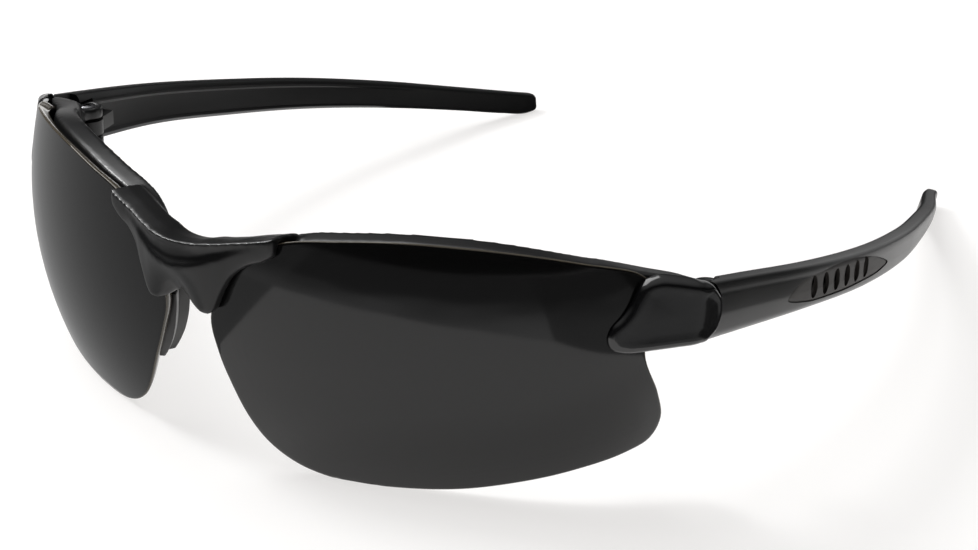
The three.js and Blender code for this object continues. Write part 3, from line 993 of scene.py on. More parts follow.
@dataclass
class FrontFrame:
    """The moulded front: brow bars, the bridge with its claws, corner blocks and hinge lugs."""

    lens: Lens
    bar_stations: tuple[float, ...] = (-30, -27, -23, -19, -15, -11, -7, -3, 1, 5, 9, 13, 17, 20)
    bar_front: float = 2.8
    bar_rear: float = 7.2
    bar_height: float = 6.2
    bar_drop: float = 0.5
    bar_crest: float = 1.25
    # How much of the crest there is at distances across.
    crest_fade: tuple[tuple[float, float], ...] = ((-33, -0.25), (-28, 1.0), (2, 1.0), (18, 0.6))
    # Sections of the corner block: outer wall x and y, inner wall x and y, top and bottom.
    corner_block: tuple[tuple[tuple[float, float], tuple[float, float], float, float], ...] = (
        ((57.6, 20.4), (53.4, 22.6), 33.6, 25.2),
        ((60.2, 23.4), (56.3, 25.0), 32.9, 24.2),
        ((60.8, 26.8), (57.6, 27.2), 31.7, 23.2),
    )
    lug_foot: tuple[float, float] = (59.4, 26.2)
    # Where the scooped face bends, as shares of the way up to the ridge, and the crown behind the ridge.
    upper_share: float = 0.66
    lower_share: float = 0.3
    upper_hollow: float = 0.9
    crown_rise: float = 0.25
    lens_gap: float = 0.2
    voxel: float = 0.25
    rounds: int = 30
    # Sections of the bridge at x, from the middle outwards: [y, z] of the ridge, top rear, rear, bottom
    # rear, bottom front and scoop, and how far the scooped face is hollowed.
    sections: tuple[tuple[float, tuple[tuple[float, float], ...], float], ...] = (
        (0.0, ((-13.7, 34.1), (-7.2, 32.8), (-5.6, 30.2), (-7.0, 26.2), (-11.0, 25.8), (-13.9, 30.3)), 0.9),
        (2.5, ((-13.5, 34.2), (-7.0, 33.0), (-5.4, 30.3), (-6.8, 25.2), (-11.6, 24.3), (-13.6, 30.7)), 0.9),
        (4.3, ((-13.1, 34.3), (-6.7, 33.6), (-5.0, 30.5), (-6.2, 24.4), (-11.9, 23.6), (-13.1, 31.3)), 0.8),
        (5.8, ((-12.5, 34.5), (-6.4, 33.8), (-4.6, 30.8), (-5.6, 24.6), (-11.8, 24.2), (-12.5, 32.0)), 0.7),
        (7.2, ((-12.0, 34.7), (-6.0, 34.1), (-4.0, 31.0), (-4.6, 26.8), (-11.6, 27.6), (-12.0, 32.6)), 0.6),
        (8.6, ((-11.4, 35.0), (-5.6, 34.4), (-3.4, 31.5), (-4.0, 28.2), (-11.0, 30.3), (-11.3, 33.3)), 0.45),
        (10.7, ((-10.7, 35.4), (-4.9, 35.0), (-2.7, 32.0), (-3.2, 29.2), (-10.3, 32.1), (-10.5, 34.2)), 0.3),
        (12.8, ((-10.2, 36.0), (-4.1, 35.4), (-1.9, 32.6), (-2.4, 29.8), (-9.9, 33.0), (-10.0, 35.0)), 0.15),
        (14.6, ((-9.7, 36.6), (-3.6, 35.9), (-1.8, 33.2), (-2.2, 30.2), (-9.5, 34.4), (-9.6, 35.7)), 0.05),
    )

    def brow_bar(self) -> bpy.types.Object:
        """The left bar, from the bridge behind the lens to the corner block."""
        low = self.bar_height
        flat = []
        for across in self.bar_stations:
            crest = self.bar_crest * float(np.interp(across, *zip(*self.crest_fade)))
            # Below the rim's line, and behind the lens's front.
            shape = (
                (0.0, self.bar_front), (-crest, self.bar_rear - 1.2), (low * 0.45, self.bar_rear),
                (low, self.bar_rear - 0.8), (low, self.bar_front), (low / 2, self.bar_front),
            )  # fmt: skip
            top = self.lens.rim_height(across) - self.bar_drop
            flat += [(across, top - down, depth) for down, depth in shape]
        rings = list(self.lens.place(flat).reshape(len(self.bar_stations), -1, 3))
        rings += [self._corner(*section) for section in self.corner_block]
        return loft("brow_bar", fine_rings(rings, 5))

    @staticmethod
    def _corner(
        outer: tuple[float, float], inner: tuple[float, float], top: float, bottom: float
    ) -> np.ndarray:
        """A section of the corner block.

        Args:
            outer: x and y of its outer wall.
            inner: x and y of its inner wall.
            top: Height of its top.
            bottom: Height of its bottom.

        Returns:
            Six points in the order of the bar's sections.
        """
        middle = (top + bottom) / 2
        return np.array(
            [
                (*outer, top),
                (*inner, top - 0.5),
                (inner[0] - 0.4, inner[1], middle),
                (*inner, bottom + 0.4),
                (*outer, bottom),
                (outer[0] + 0.2, outer[1], middle),
            ]
        )

    def bridge(self) -> bpy.types.Object:
        """The bridge with its scooped front and its two legs."""
        half = []
        for x, section, hollow in self.sections:
            ridge, top_rear, rear, bottom_rear, bottom_front, scoop = (np.array(point) for point in section)
            crown = (ridge + top_rear) / 2 + (0.0, self.crown_rise)
            belly = (bottom_front + scoop) / 2
            upper = ridge * self.upper_share + scoop * (1 - self.upper_share)
            upper = upper + (hollow * self.upper_hollow, 0.0)
            lower = ridge * self.lower_share + scoop * (1 - self.lower_share) + (hollow, 0.0)
            behind = [ridge, crown, top_rear, rear, bottom_rear, bottom_front]
            loop = np.array([*behind, belly, scoop, lower, upper])
            half.append(np.column_stack([np.full(len(loop), x), loop]))
        other = [ring * (-1, 1, 1) for ring in half[:0:-1]]
        return loft("bridge", fine_rings([*other, *half], 6))

    def lugs(self) -> list[bpy.types.Object]:
        """The two drilled lugs that hold the left hinge screw."""
        made = []
        for low, high in ((HINGE.bottom, HINGE.lower_top), (HINGE.upper_bottom, HINGE.top)):
            lug = prism("lug", HINGE.web(*self.lug_foot), low, high)
            made.append(cut(lug, HINGE.column("lug_eye", HINGE.knuckle_radius, low, high), operation="UNION"))
        lower, upper = made
        bore = HINGE.screw_radius + HINGE.gap
        cut(lower, HINGE.column("bore", bore, HINGE.bottom - 1, HINGE.lower_top + 1))
        nut_top = HINGE.low_end + HINGE.nut_height + HINGE.gap
        cut(lower, HINGE.column("seat", HINGE.nut_radius + HINGE.gap, BELOW, nut_top))
        cut(upper, HINGE.column("bore", bore, HINGE.upper_bottom - 1, HINGE.top + 1))
        head_low = HINGE.top - HINGE.head_height
        cut(upper, HINGE.column("seat", HINGE.head_radius + HINGE.gap, head_low, ABOVE))
        return made

    def build(self) -> None:
        """Makes the whole front as one moulded piece."""
        room = self.lens.solid("lens_room", self.lens_gap)
        other_room = mirror(room, "lens_room_right")
        bridge = self.bridge()
        for cutter in (room, other_room):
            copy = cutter.copy()
            bpy.context.scene.collection.objects.link(copy)
            cut(bridge, copy)
        bpy.data.objects.remove(other_room)
        bar = cut(self.brow_bar(), room)
        cut(bar, HINGE.column("knuckle_room", HINGE.clear_radius, HINGE.lower_top, HINGE.upper_bottom))
        cut(bar, HINGE.column("eye_room", HINGE.knuckle_radius - HINGE.gap, HINGE.bottom - 1, HINGE.top + 1))
        side = [bar, *self.lugs()]
        solids = [bridge, *side, *(mirror(piece, f"{piece.name}_right") for piece in side)]
        shell = fuse("front_frame_shell", solids, self.voxel, self.rounds)
        hand_over(shell, Look.SATIN_NYLON, Body.FRONT, "front_frame", crease=MELTED)


# ---------------------------------------------------------------- end cap


@dataclass
class EndCap:
    """The glossy cover of a corner: a claw over the lens, then a shell back to the temple."""

    lens: Lens
    # Outline on the unrolled cover: distance along the cover, and height from the lens reference point.
    outline_corners: tuple[tuple[float, float], ...] = (
        (19.4, 3.1), (19.7, 1.8), (20.6, 0.9), (22.4, 0.45), (24.6, 0.4), (28, 0.6), (33.9, 1.0), (35.9, 2.7),
        (36.6, 5.1), (36.3, 7.3), (34.6, 9.7), (32, 10.4), (29.4, 10.9), (26.5, 11.3), (24.8, 11.0),
        (23.5, 10.2), (22.9, 8.8), (22.2, 7.2), (21.2, 5.8), (20.0, 4.7),
    )  # fmt: skip
    outline_count: int = 260
    lens_end: float = 25.2
    proud: tuple[tuple[float, float], ...] = ((19.4, 0.75), (22.4, 1.1))
    # Plan of the outer face behind the lens: distance along the cover, x and y.
    side_path: tuple[tuple[float, float, float], ...] = (
        (26.6, 59.0, 17.9), (29.5, 60.85, 20.05), (32.0, 62.5, 22.0), (34.2, 63.35, 24.0),
        (36.8, 64.05, 26.5),
    )  # fmt: skip
    # Share of the full height at distances in from the edge: a rounded lip, then a slightly lower panel.
    lip: tuple[tuple[float, float], ...] = (
        (0.0, 0.1), (0.12, 0.42), (0.3, 0.68), (0.6, 0.9), (1.0, 1.0), (1.4, 1.0), (2.1, 0.93), (3.2, 0.9),
        (9.0, 0.97),
    )  # fmt: skip
    shares: tuple[float, ...] = (
        0.04, 0.15, 0.3, 0.45, 0.58, 0.68, 0.76, 0.83, 0.88, 0.92, 0.95, 0.975, 0.99, 1.0,
    )  # fmt: skip
    wall: float = 1.6
    corner_rounding: float = 0.7
    lens_clearance: float = 0.1
    # The outer face leans in with the lens's curve up to here, and loses that lean over this reach.
    lean_end: float = 36.0
    lean_reach: float = 12.0
    outset: float = 0.2
    height_share: float = 0.998
    # Behind the lens the inner face leaves the lens for the wall's own over this reach.
    blend: float = 1.2
    # From here back, the lip narrows by this much more over this reach.
    rear_from: float = 33.0
    rear_reach: float = 3.0
    rear_narrowing: float = 1.5
    hub: tuple[float, float] = (29.5, 5.8)

    def _plan(self, along: np.ndarray) -> tuple[np.ndarray, np.ndarray]:
        """The outer face in plan.

        Args:
            along: Distances along the cover.

        Returns:
            Points in plan, and the outward directions there.
        """
        on_lens = self.lens.place([(s, 5.0, -height) for s, height in self.proud])[:, :2]
        knots = np.array([s for s, _ in self.proud] + [s for s, _, _ in self.side_path])
        path = np.vstack([on_lens, [place[1:] for place in self.side_path]])
        here = cubic_through(knots, path, along)
        ahead = cubic_through(knots, path, along + 0.05) - cubic_through(knots, path, along - 0.05)
        ahead /= np.linalg.norm(ahead, axis=1, keepdims=True)
        return here, np.column_stack([ahead[:, 1], -ahead[:, 0]])

    def _layer(self, flat: np.ndarray, height: np.ndarray) -> np.ndarray:
        """Points of the cover.

        Args:
            flat: Distances along and heights, one row each.
            height: Share of the way from the inner face to the outer face, one for each point.

        Returns:
            Points in the front's coordinates.
        """
        along, up = flat.T
        clipped = np.clip(along, 0, self.lens_end + 1)
        on_lens = self.lens.place(np.column_stack([clipped, up, np.full(len(up), -self.lens_clearance)]))
        plan, outward = self._plan(along)
        surface = self.lens.surface
        fade = np.clip((self.lean_end - along) / self.lean_reach, 0, 1)[:, None]
        lean = (surface.radius_up * (1 - np.cos(up / surface.radius_up)))[:, None] * fade
        outer_height = surface.centre_z + up * self.height_share
        outer = np.column_stack([plan - outward * (lean - self.outset), outer_height])
        inner = np.column_stack([outer[:, :2] - outward * self.wall, outer[:, 2]])
        share = np.clip((along - self.lens_end) / self.blend, 0, 1)[:, None]
        base = on_lens * (1 - share) + inner * share
        return base + (outer - base) * height[:, None]

    def build(self) -> None:
        """Makes both caps."""
        outline = polyline_outline(self.outline_corners, self.outline_count, self.corner_rounding)
        hub = np.array(self.hub)
        rings = []
        places, heights = np.array(self.lip).T
        for share in self.shares:
            flat = hub + (outline - hub) * share
            at_rear = np.clip((flat[:, 0] - self.rear_from) / self.rear_reach, 0, 1)
            inside = edge_distance(flat, outline) * (1 + self.rear_narrowing * at_rear)
            rings.append(self._layer(flat, cubic_through(places, heights, inside)[:, 0]))
        for share in reversed(self.shares):
            rings.append(self._layer(hub + (outline - hub) * share, np.zeros(len(outline))))
        shell = loft("end_cap_shell", rings)
        cut(shell, HINGE.column("hinge_room", HINGE.clear_radius, BELOW, ABOVE))
        both_sides(shell, "end_cap", Look.GLOSS_CAP)


# ---------------------------------------------------------------- nose supports


@dataclass
class NoseSupport:
    """The hard carrier clipped to the lens's nasal edge, and the soft pad on it."""

    # Height, x and y on the lens's edge, and how far the support reaches back.
    levels: tuple[tuple[float, float, float, float], ...] = (
        (22.6, 4.6, -7.2, 5.6), (20.4, 4.7, -7.1, 7.2), (17.4, 5.1, -7.0, 7.8), (14.6, 6.1, -6.6, 7.4),
        (12.4, 7.4, -6.1, 5.8), (11.0, 8.5, -5.7, 3.6),
    )  # fmt: skip
    backward: tuple[float, float] = (0.52, 0.854)
    strip: float = 1.9
    step: float = 1.3
    wall: float = 1.3
    pad_thickness: float = 1.1
    pad_swell: float = 1.0
    pad_lip: float = 1.2
    gap: float = 0.2
    # Plan and heights of the tenon that the leg of the bridge holds.
    tenon: tuple[tuple[float, float], ...] = ((5.3, -7.0), (6.6, -7.0), (6.6, -6.2), (5.3, -6.2))
    tenon_low: float = 22.0
    tenon_high: float = 27.2
    voxel: float = 0.14
    carrier_rounds: int = 3
    pad_rounds: int = 4

    def _loft(self, name: str, corners: Callable[[float], Sequence[tuple[float, float]]]) -> bpy.types.Object:
        """Lofts a piece down the levels.

        Args:
            name: The object's name.
            corners: Gives a level's corners, back and out from the lens's edge, for its length.

        Returns:
            The object.
        """
        along = np.array([*self.backward, 0.0])
        across = np.array([self.backward[1], -self.backward[0], 0.0])
        rings = []
        for z, x, y, length in self.levels:
            rings.append(np.array([(x, y, z) + back * along + out * across for back, out in corners(length)]))
        return loft(name, fine_rings(rings, 6))

    def carrier(self) -> bpy.types.Object:
        """The left carrier with its tenon in the leg of the bridge."""
        blade = self._loft(
            "carrier_blade",
            lambda length: [
                (0, 0), (self.strip, 0), (self.strip, self.step), (length, self.step),
                (length, self.step + self.wall), (0.2, self.step + self.wall),
            ],
        )  # fmt: skip
        tenon = prism("tenon", np.array(self.tenon), self.tenon_low, self.tenon_high)
        return fuse("nose_carrier_shell", [blade, tenon], self.voxel, self.carrier_rounds)

    def pad(self) -> bpy.types.Object:
        """The left pad."""
        start = self.strip + self.gap
        blade = self._loft(
            "pad_blade",
            lambda length: [
                (start, 0.1), ((start + length) / 2, -self.pad_swell), (length + self.pad_lip, -0.2),
                (length + self.pad_lip, self.pad_thickness - 0.1), (start, self.step - self.gap),
            ],
        )  # fmt: skip
        return fuse("nose_pad_skin", [blade], self.voxel, self.pad_rounds)

    def build(self) -> None:
        """Makes both carriers and both pads."""
        both_sides(self.carrier(), "nose_carrier", Look.CARRIER, crease=MELTED)
        both_sides(self.pad(), "nose_pad", Look.PAD_RUBBER, crease=MELTED)


# ---------------------------------------------------------------- hinge screw and nut


@dataclass
class HingePin:
    """The hinge screw with its cross recess, and the knurled nut that it threads into."""

    knurls: int = 24
    knurl_points: int = 192
    knurl_depth: float = 0.03
    recess_width: float = 0.42
    recess_depth: float = 0.4
    recess_share: float = 0.62

    def screw(self) -> bpy.types.Object:
        """The left screw."""
        neck = HINGE.top - HINGE.head_height + HINGE.gap
        profile = (
            (HINGE.screw_radius - 0.15, HINGE.low_end), (HINGE.screw_radius, HINGE.low_end + 0.2),
            (HINGE.screw_radius, neck), (HINGE.head_radius - 0.08, neck), (HINGE.head_radius, neck + 0.1),
            (HINGE.head_radius, HINGE.top - 0.22), (HINGE.head_radius - 0.12, HINGE.top - 0.08),
            (HINGE.head_radius - 0.4, HINGE.top),
        )  # fmt: skip
        rings = []
        for radius, z in profile:
            plan = circle(HINGE.x, HINGE.y, radius)
            rings.append(np.column_stack([plan, np.full(len(plan), z)]))
        screw = loft("hinge_screw_turned", rings)
        half, arm = self.recess_width / 2, HINGE.head_radius * self.recess_share
        for width, length in ((half, arm), (arm, half)):
            plan = np.array([(-width, -length), (width, -length), (width, length), (-width, length)])
            plan += (HINGE.x, HINGE.y)
            cut(screw, prism("recess", plan, HINGE.top - self.recess_depth, HINGE.top + 1))
        return screw

    def nut(self) -> bpy.types.Object:
        """The left nut."""
        turn = np.linspace(0, 2 * math.pi, self.knurl_points + 1)[:-1]
        radius = HINGE.nut_radius - self.knurl_depth * (1 + np.cos(self.knurls * turn))
        plan = np.column_stack([HINGE.x + radius * np.cos(turn), HINGE.y + radius * np.sin(turn)])
        body = prism("hinge_nut_knurled", plan, HINGE.low_end, HINGE.low_end + HINGE.nut_height)
        return cut(body, HINGE.column("thread", HINGE.screw_radius + HINGE.gap, BELOW, ABOVE))

    def build(self) -> None:
        """Makes both screws and both nuts."""
        both_sides(self.screw(), "hinge_screw", Look.SCREW_STEEL)
        both_sides(self.nut(), "hinge_nut", Look.NUT_BRASS)


# ---------------------------------------------------------------- temple


@dataclass
class Temple:
    """A folding temple: a slim arm with a hinge knuckle, and a slotted rubber leaf let into its side."""

    # y, x, top, bottom, lean and thickness at stations from the hinge to the tip.
    stations: tuple[tuple[float, ...], ...] = (
        (24.0, 61.2, 32.6, 23.3, 0.4, 3.6), (34.0, 62.9, 30.9, 22.2, 0.45, 3.6),
        (51.1, 65.5, 27.8, 20.2, 0.5, 3.5), (73.7, 66.4, 23.5, 16.5, 0.55, 3.4),
        (96.3, 64.8, 19.2, 12.8, 0.6, 3.4), (119.0, 60.7, 14.4, 8.6, 0.8, 3.4),
        (141.6, 55.3, 9.1, 3.8, 1.0, 3.3), (153.0, 51.8, 6.5, 1.3, 1.0, 3.1),
        (160.0, 49.8, 4.9, 0.05, 0.9, 2.9), (164.4, 49.1, 3.9, 0.2, 0.6, 2.6),
    )  # fmt: skip
    station_count: int = 240
    tip_round: float = 1.9
    panel_depth: float = 0.12
    # Leaf outline on the outer face, y and z.
    leaf: tuple[tuple[float, float], ...] = (
        (44.2, 24.4), (47, 26.2), (55.5, 26), (64, 24.8), (73, 22.6), (80, 19.9), (82.6, 18.4), (78.8, 18),
        (71.5, 18.8), (60, 20.4), (50, 22.2),
    )  # fmt: skip
    leaf_count: int = 220
    leaf_shares: tuple[float, ...] = (0.03, 0.15, 0.3, 0.45, 0.6, 0.72, 0.82, 0.9, 0.95, 0.98, 1.0)
    leaf_depth: float = 0.9
    leaf_gap: float = 0.07
    # How far the leaf's edge lies below the arm's face, its rise from there, and its dish.
    leaf_sink: float = 0.22
    leaf_rise: float = 0.12
    leaf_rounding: float = 0.4
    leaf_dish: float = 0.03
    pocket_front: float = 2.0
    pocket_gap: float = 0.3
    slot_first: tuple[float, float] = (51.6, 24.1)
    slot_last: tuple[float, float] = (71.1, 21.3)
    slot_count: int = 6
    slot_height: float = 4.4
    slot_width: float = 1.8
    slot_slant: float = math.radians(20)
    slot_tilt: float = math.radians(-24)
    slot_depth: float = 1.2
    cutter_depth: float = 3.0
    # Plan of the room for the front's corner block.
    corner_room: tuple[tuple[float, float], ...] = (
        (50, 15), (61.6, 15), (62, 28.6), (60.6, 29.4), (50, 29.4),
    )  # fmt: skip
    knuckle_foot: tuple[float, float] = (61.6, 36)
    knuckle_gap: float = 0.3
    # The rounded seam against the end cover, y and z: two ends and the point that draws the curve back.
    seam: tuple[tuple[float, float], ...] = ((23.8, 20), (30.0, 27.8), (23.6, 35))
    seam_ahead: float = 20.0

    def _at(self, y: np.ndarray) -> np.ndarray:
        """x, top, bottom, lean and thickness at distances back."""
        table = np.array(self.stations)
        return cubic_through(table[:, 0], table[:, 1:], y)

    def outer_x(self, y: np.ndarray, z: np.ndarray) -> np.ndarray:
        """How far out the arm's outer face is.

        Args:
            y: Distances back.
            z: Heights.

        Returns:
            One x for each pair.
        """
        x, top, bottom, lean, thickness = self._at(y).T
        up = (z - bottom) / (top - bottom)
        across = np.interp(up, (0, 0.12, 0.48, 0.84, 1), (0.12, 0.4, 0.5, 0.48, 0.28))
        return x + across * thickness + lean * (up - 0.5)

    def _section(self, y: float, size: float) -> np.ndarray:
        """One ring of the arm.

        Args:
            y: How far back it is.
            size: Its share of the full section, which shrinks round the tip.

        Returns:
            The ring's points.
        """
        x, top, bottom, lean, thickness = self._at(np.array([y]))[0]
        panel = self.panel_depth * float(np.interp(y, (31, 36, 80, 128), (0, 1, 1, 0)))
        shape = np.array(
            [(-0.36, 1), (-0.5, 0.88), (-0.5, 0.79), (-0.5 + panel, 0.755), (-0.5 + panel, 0.17),
             (-0.5, 0.12), (-0.26, 0), (0.12, 0), (0.4, 0.12), (0.5, 0.48), (0.48, 0.84), (0.28, 1)]
        )  # fmt: skip
        reaches = (0.45, 0.3, 0.12, 0.15, 0.25, 0.25, 0.45, 0.5, 0.7, 0.35, 0.6, 0.5)
        height = top - bottom
        flat = round_corners(shape * (thickness, height), reaches, 5)
        up = flat[:, 1] / height
        middle = height / 2
        return np.column_stack(
            [
                x + flat[:, 0] * size + lean * (up - 0.5) * size,
                np.full(len(flat), y),
                bottom + middle + (flat[:, 1] - middle) * size,
            ]
        )

    def arm(self) -> bpy.types.Object:
        """The whole arm before it is cut."""
        end = self.stations[-1][0]
        straight = np.linspace(self.stations[0][0], end - self.tip_round, self.station_count)
        turn = np.linspace(0, math.pi / 2, 12)[1:]
        rings = [self._section(y, 1.0) for y in straight]
        rings += [
            self._section(end - self.tip_round * (1 - math.sin(t)), max(math.cos(t), 0.06)) for t in turn
        ]
        return loft("temple_shell", rings)

    def _leaf_ring(self, share: float, growth: float) -> np.ndarray:
        """The leaf's outline at a share of its size, grown outwards."""
        outline = closed_outline(self.leaf, self.leaf_count)
        middle = outline.mean(0)
        out = outline - middle
        return middle + out * (share * (1 + growth / np.linalg.norm(out, axis=1, keepdims=True)))

    def _leaf_solid(self, name: str, growth: float, front: Callable, back: float) -> bpy.types.Object:
        """A plate that follows the arm's outer face.

        Args:
            name: The object's name.
            growth: How much larger than the leaf it is.
            front: Gives the height of its front over the arm's face for distances from the leaf's edge.
            back: How far below the arm's face its back is.

        Returns:
            The object.
        """
        outline = self._leaf_ring(1.0, growth)
        rings = []
        for share in self.leaf_shares:
            y, z = self._leaf_ring(share, growth).T
            inside = edge_distance(np.column_stack([y, z]), outline)
            rings.append(np.column_stack([self.outer_x(y, z) + front(inside), y, z]))
        for share in reversed(self.leaf_shares):
            y, z = self._leaf_ring(share, growth).T
            rings.append(np.column_stack([self.outer_x(y, z) - back, y, z]))
        return loft(name, rings)

    def _leaf_face(self, inside: np.ndarray) -> np.ndarray:
        """How high the leaf's face is over the arm's at distances in from its edge."""
        rise = self.leaf_rise * np.clip(inside / self.leaf_rounding, 0, 1)
        return -self.leaf_sink + rise - self.leaf_dish * inside

    def _pocket_face(self, inside: np.ndarray) -> np.ndarray:
        """How high the cutter for the leaf's pocket stands over the arm's face."""
        return np.full_like(inside, self.pocket_front)

    def _seam_room(self) -> bpy.types.Object:
        """The room in front of the arm's rounded seam against the end cover."""
        low, middle, high = (np.array(point) for point in self.seam)
        t = np.linspace(0, 1, 24)[:, None]
        curve = (1 - t) ** 2 * low + 2 * t * (1 - t) * middle + t**2 * high
        outline = np.vstack([curve, [(self.seam_ahead, high[1]), (self.seam_ahead, low[1])]])
        walls = [np.column_stack([np.full(len(outline), x), outline]) for x in (50.0, 70.0)]
        return loft("seam_room", walls)

    def _slots(self) -> bpy.types.Object:
        """The row of slanted cutters for the leaf's slots."""
        depth = self.cutter_depth
        ends = []
        for y, z in (self.slot_first, self.slot_last):
            x = float(self.outer_x(np.array([y]), np.array([z]))[0]) - self.slot_depth + depth / 2
            ends.append(tuple(Vector((x, y, z)) * MM + FRONT_SHIFT))
        sizes = {
            "Count": self.slot_count,
            "First": ends[0],
            "Last": ends[1],
            "Height": self.slot_height * MM,
            "Width": self.slot_width * MM,
            "Depth": depth * MM,
            "Slant": self.slot_slant,
            "Tilt": self.slot_tilt,
        }
        row = SlotRow(sizes, WARDROBE.get(Look.INLAY_RUBBER))
        slots = new_object("slots", np.zeros((1, 3)), [])
        return turned_outwards(run_geometry_tree(slots, row.tree, row.sizes))

    def build(self) -> None:
        """Makes both temples and both leaves."""
        arm = self.arm()
        pocket = self._leaf_solid(
            "pocket", self.leaf_gap, self._pocket_face, self.leaf_depth + self.pocket_gap
        )
        hinge_room = HINGE.column("hinge_room", HINGE.clear_radius, BELOW, HINGE.top + self.knuckle_gap)
        corner_room = prism("corner_room", np.array(self.corner_room, float), BELOW, ABOVE)
        cut(arm, corner_room, hinge_room, self._seam_room(), pocket)
        low, high = HINGE.lower_top + self.knuckle_gap, HINGE.upper_bottom - self.knuckle_gap
        knuckle = prism("knuckle", HINGE.web(*self.knuckle_foot), low, high)
        cut(knuckle, HINGE.column("eye", HINGE.knuckle_radius, low, high), operation="UNION")
        cut(arm, knuckle, operation="UNION")
        cut(arm, HINGE.column("bore", HINGE.screw_radius + HINGE.gap, BELOW, ABOVE))
        both_sides(arm, "temple", Look.SATIN_NYLON, on_temple=True)
        leaf = self._leaf_solid("temple_inlay_skin", 0.0, self._leaf_face, self.leaf_depth)
        cut(leaf, self._slots())
        both_sides(leaf, "temple_inlay", Look.INLAY_RUBBER, on_temple=True)


# ---------------------------------------------------------------- stage


@dataclass(frozen=True)
class CameraPlace:
    """Where the camera stands and how it is turned."""

    azimuth: float = math.radians(31.69)
    elevation: float = math.radians(23.03)
    roll: float = math.radians(3.38)
    distance: float = 303.5
    aim_back: float = -6.27
    aim_up: float = 1.76
    lens: float = 61.98
    sensor: float = 36.0

    def make(self) -> None:
        """Makes the scene's camera."""
        a, e = self.azimuth, self.elevation
        back = Vector((math.sin(a) * math.cos(e), -math.cos(a) * math.cos(e), math.sin(e)))
        level = Vector((math.cos(a), math.sin(a), 0.0))
        tall = back.cross(level)
        right = level * math.cos(self.roll) + tall * math.sin(self.roll)
        up = tall * math.cos(self.roll) - level * math.sin(self.roll)
        data = bpy.data.cameras.new("camera")
        data.lens = self.lens
        data.sensor_width = self.sensor
        data.clip_start, data.clip_end = 0.01, 20.0
        camera = bpy.data.objects.new("camera", data)
        place = Vector((0, self.aim_back, self.aim_up)) * MM + back * (self.distance * MM)
        camera.matrix_world = Matrix.Translation(place) @ Matrix((right, up, back)).transposed().to_4x4()
        bpy.context.scene.collection.objects.link(camera)
        bpy.context.scene.camera = camera


@dataclass(frozen=True)
class PaintedReflectionPatch:
    """A glowing patch on the table that only the glasses' gloss shows: a painted reflection that stands in
    for a dark room round them.
    """

    name: str
    # Its near edge, x and y in millimetres.
    edge: tuple[tuple[float, float], ...]
    # Brightness of its painted reflection at the near edge and in the distance.
    near: float
    far: float


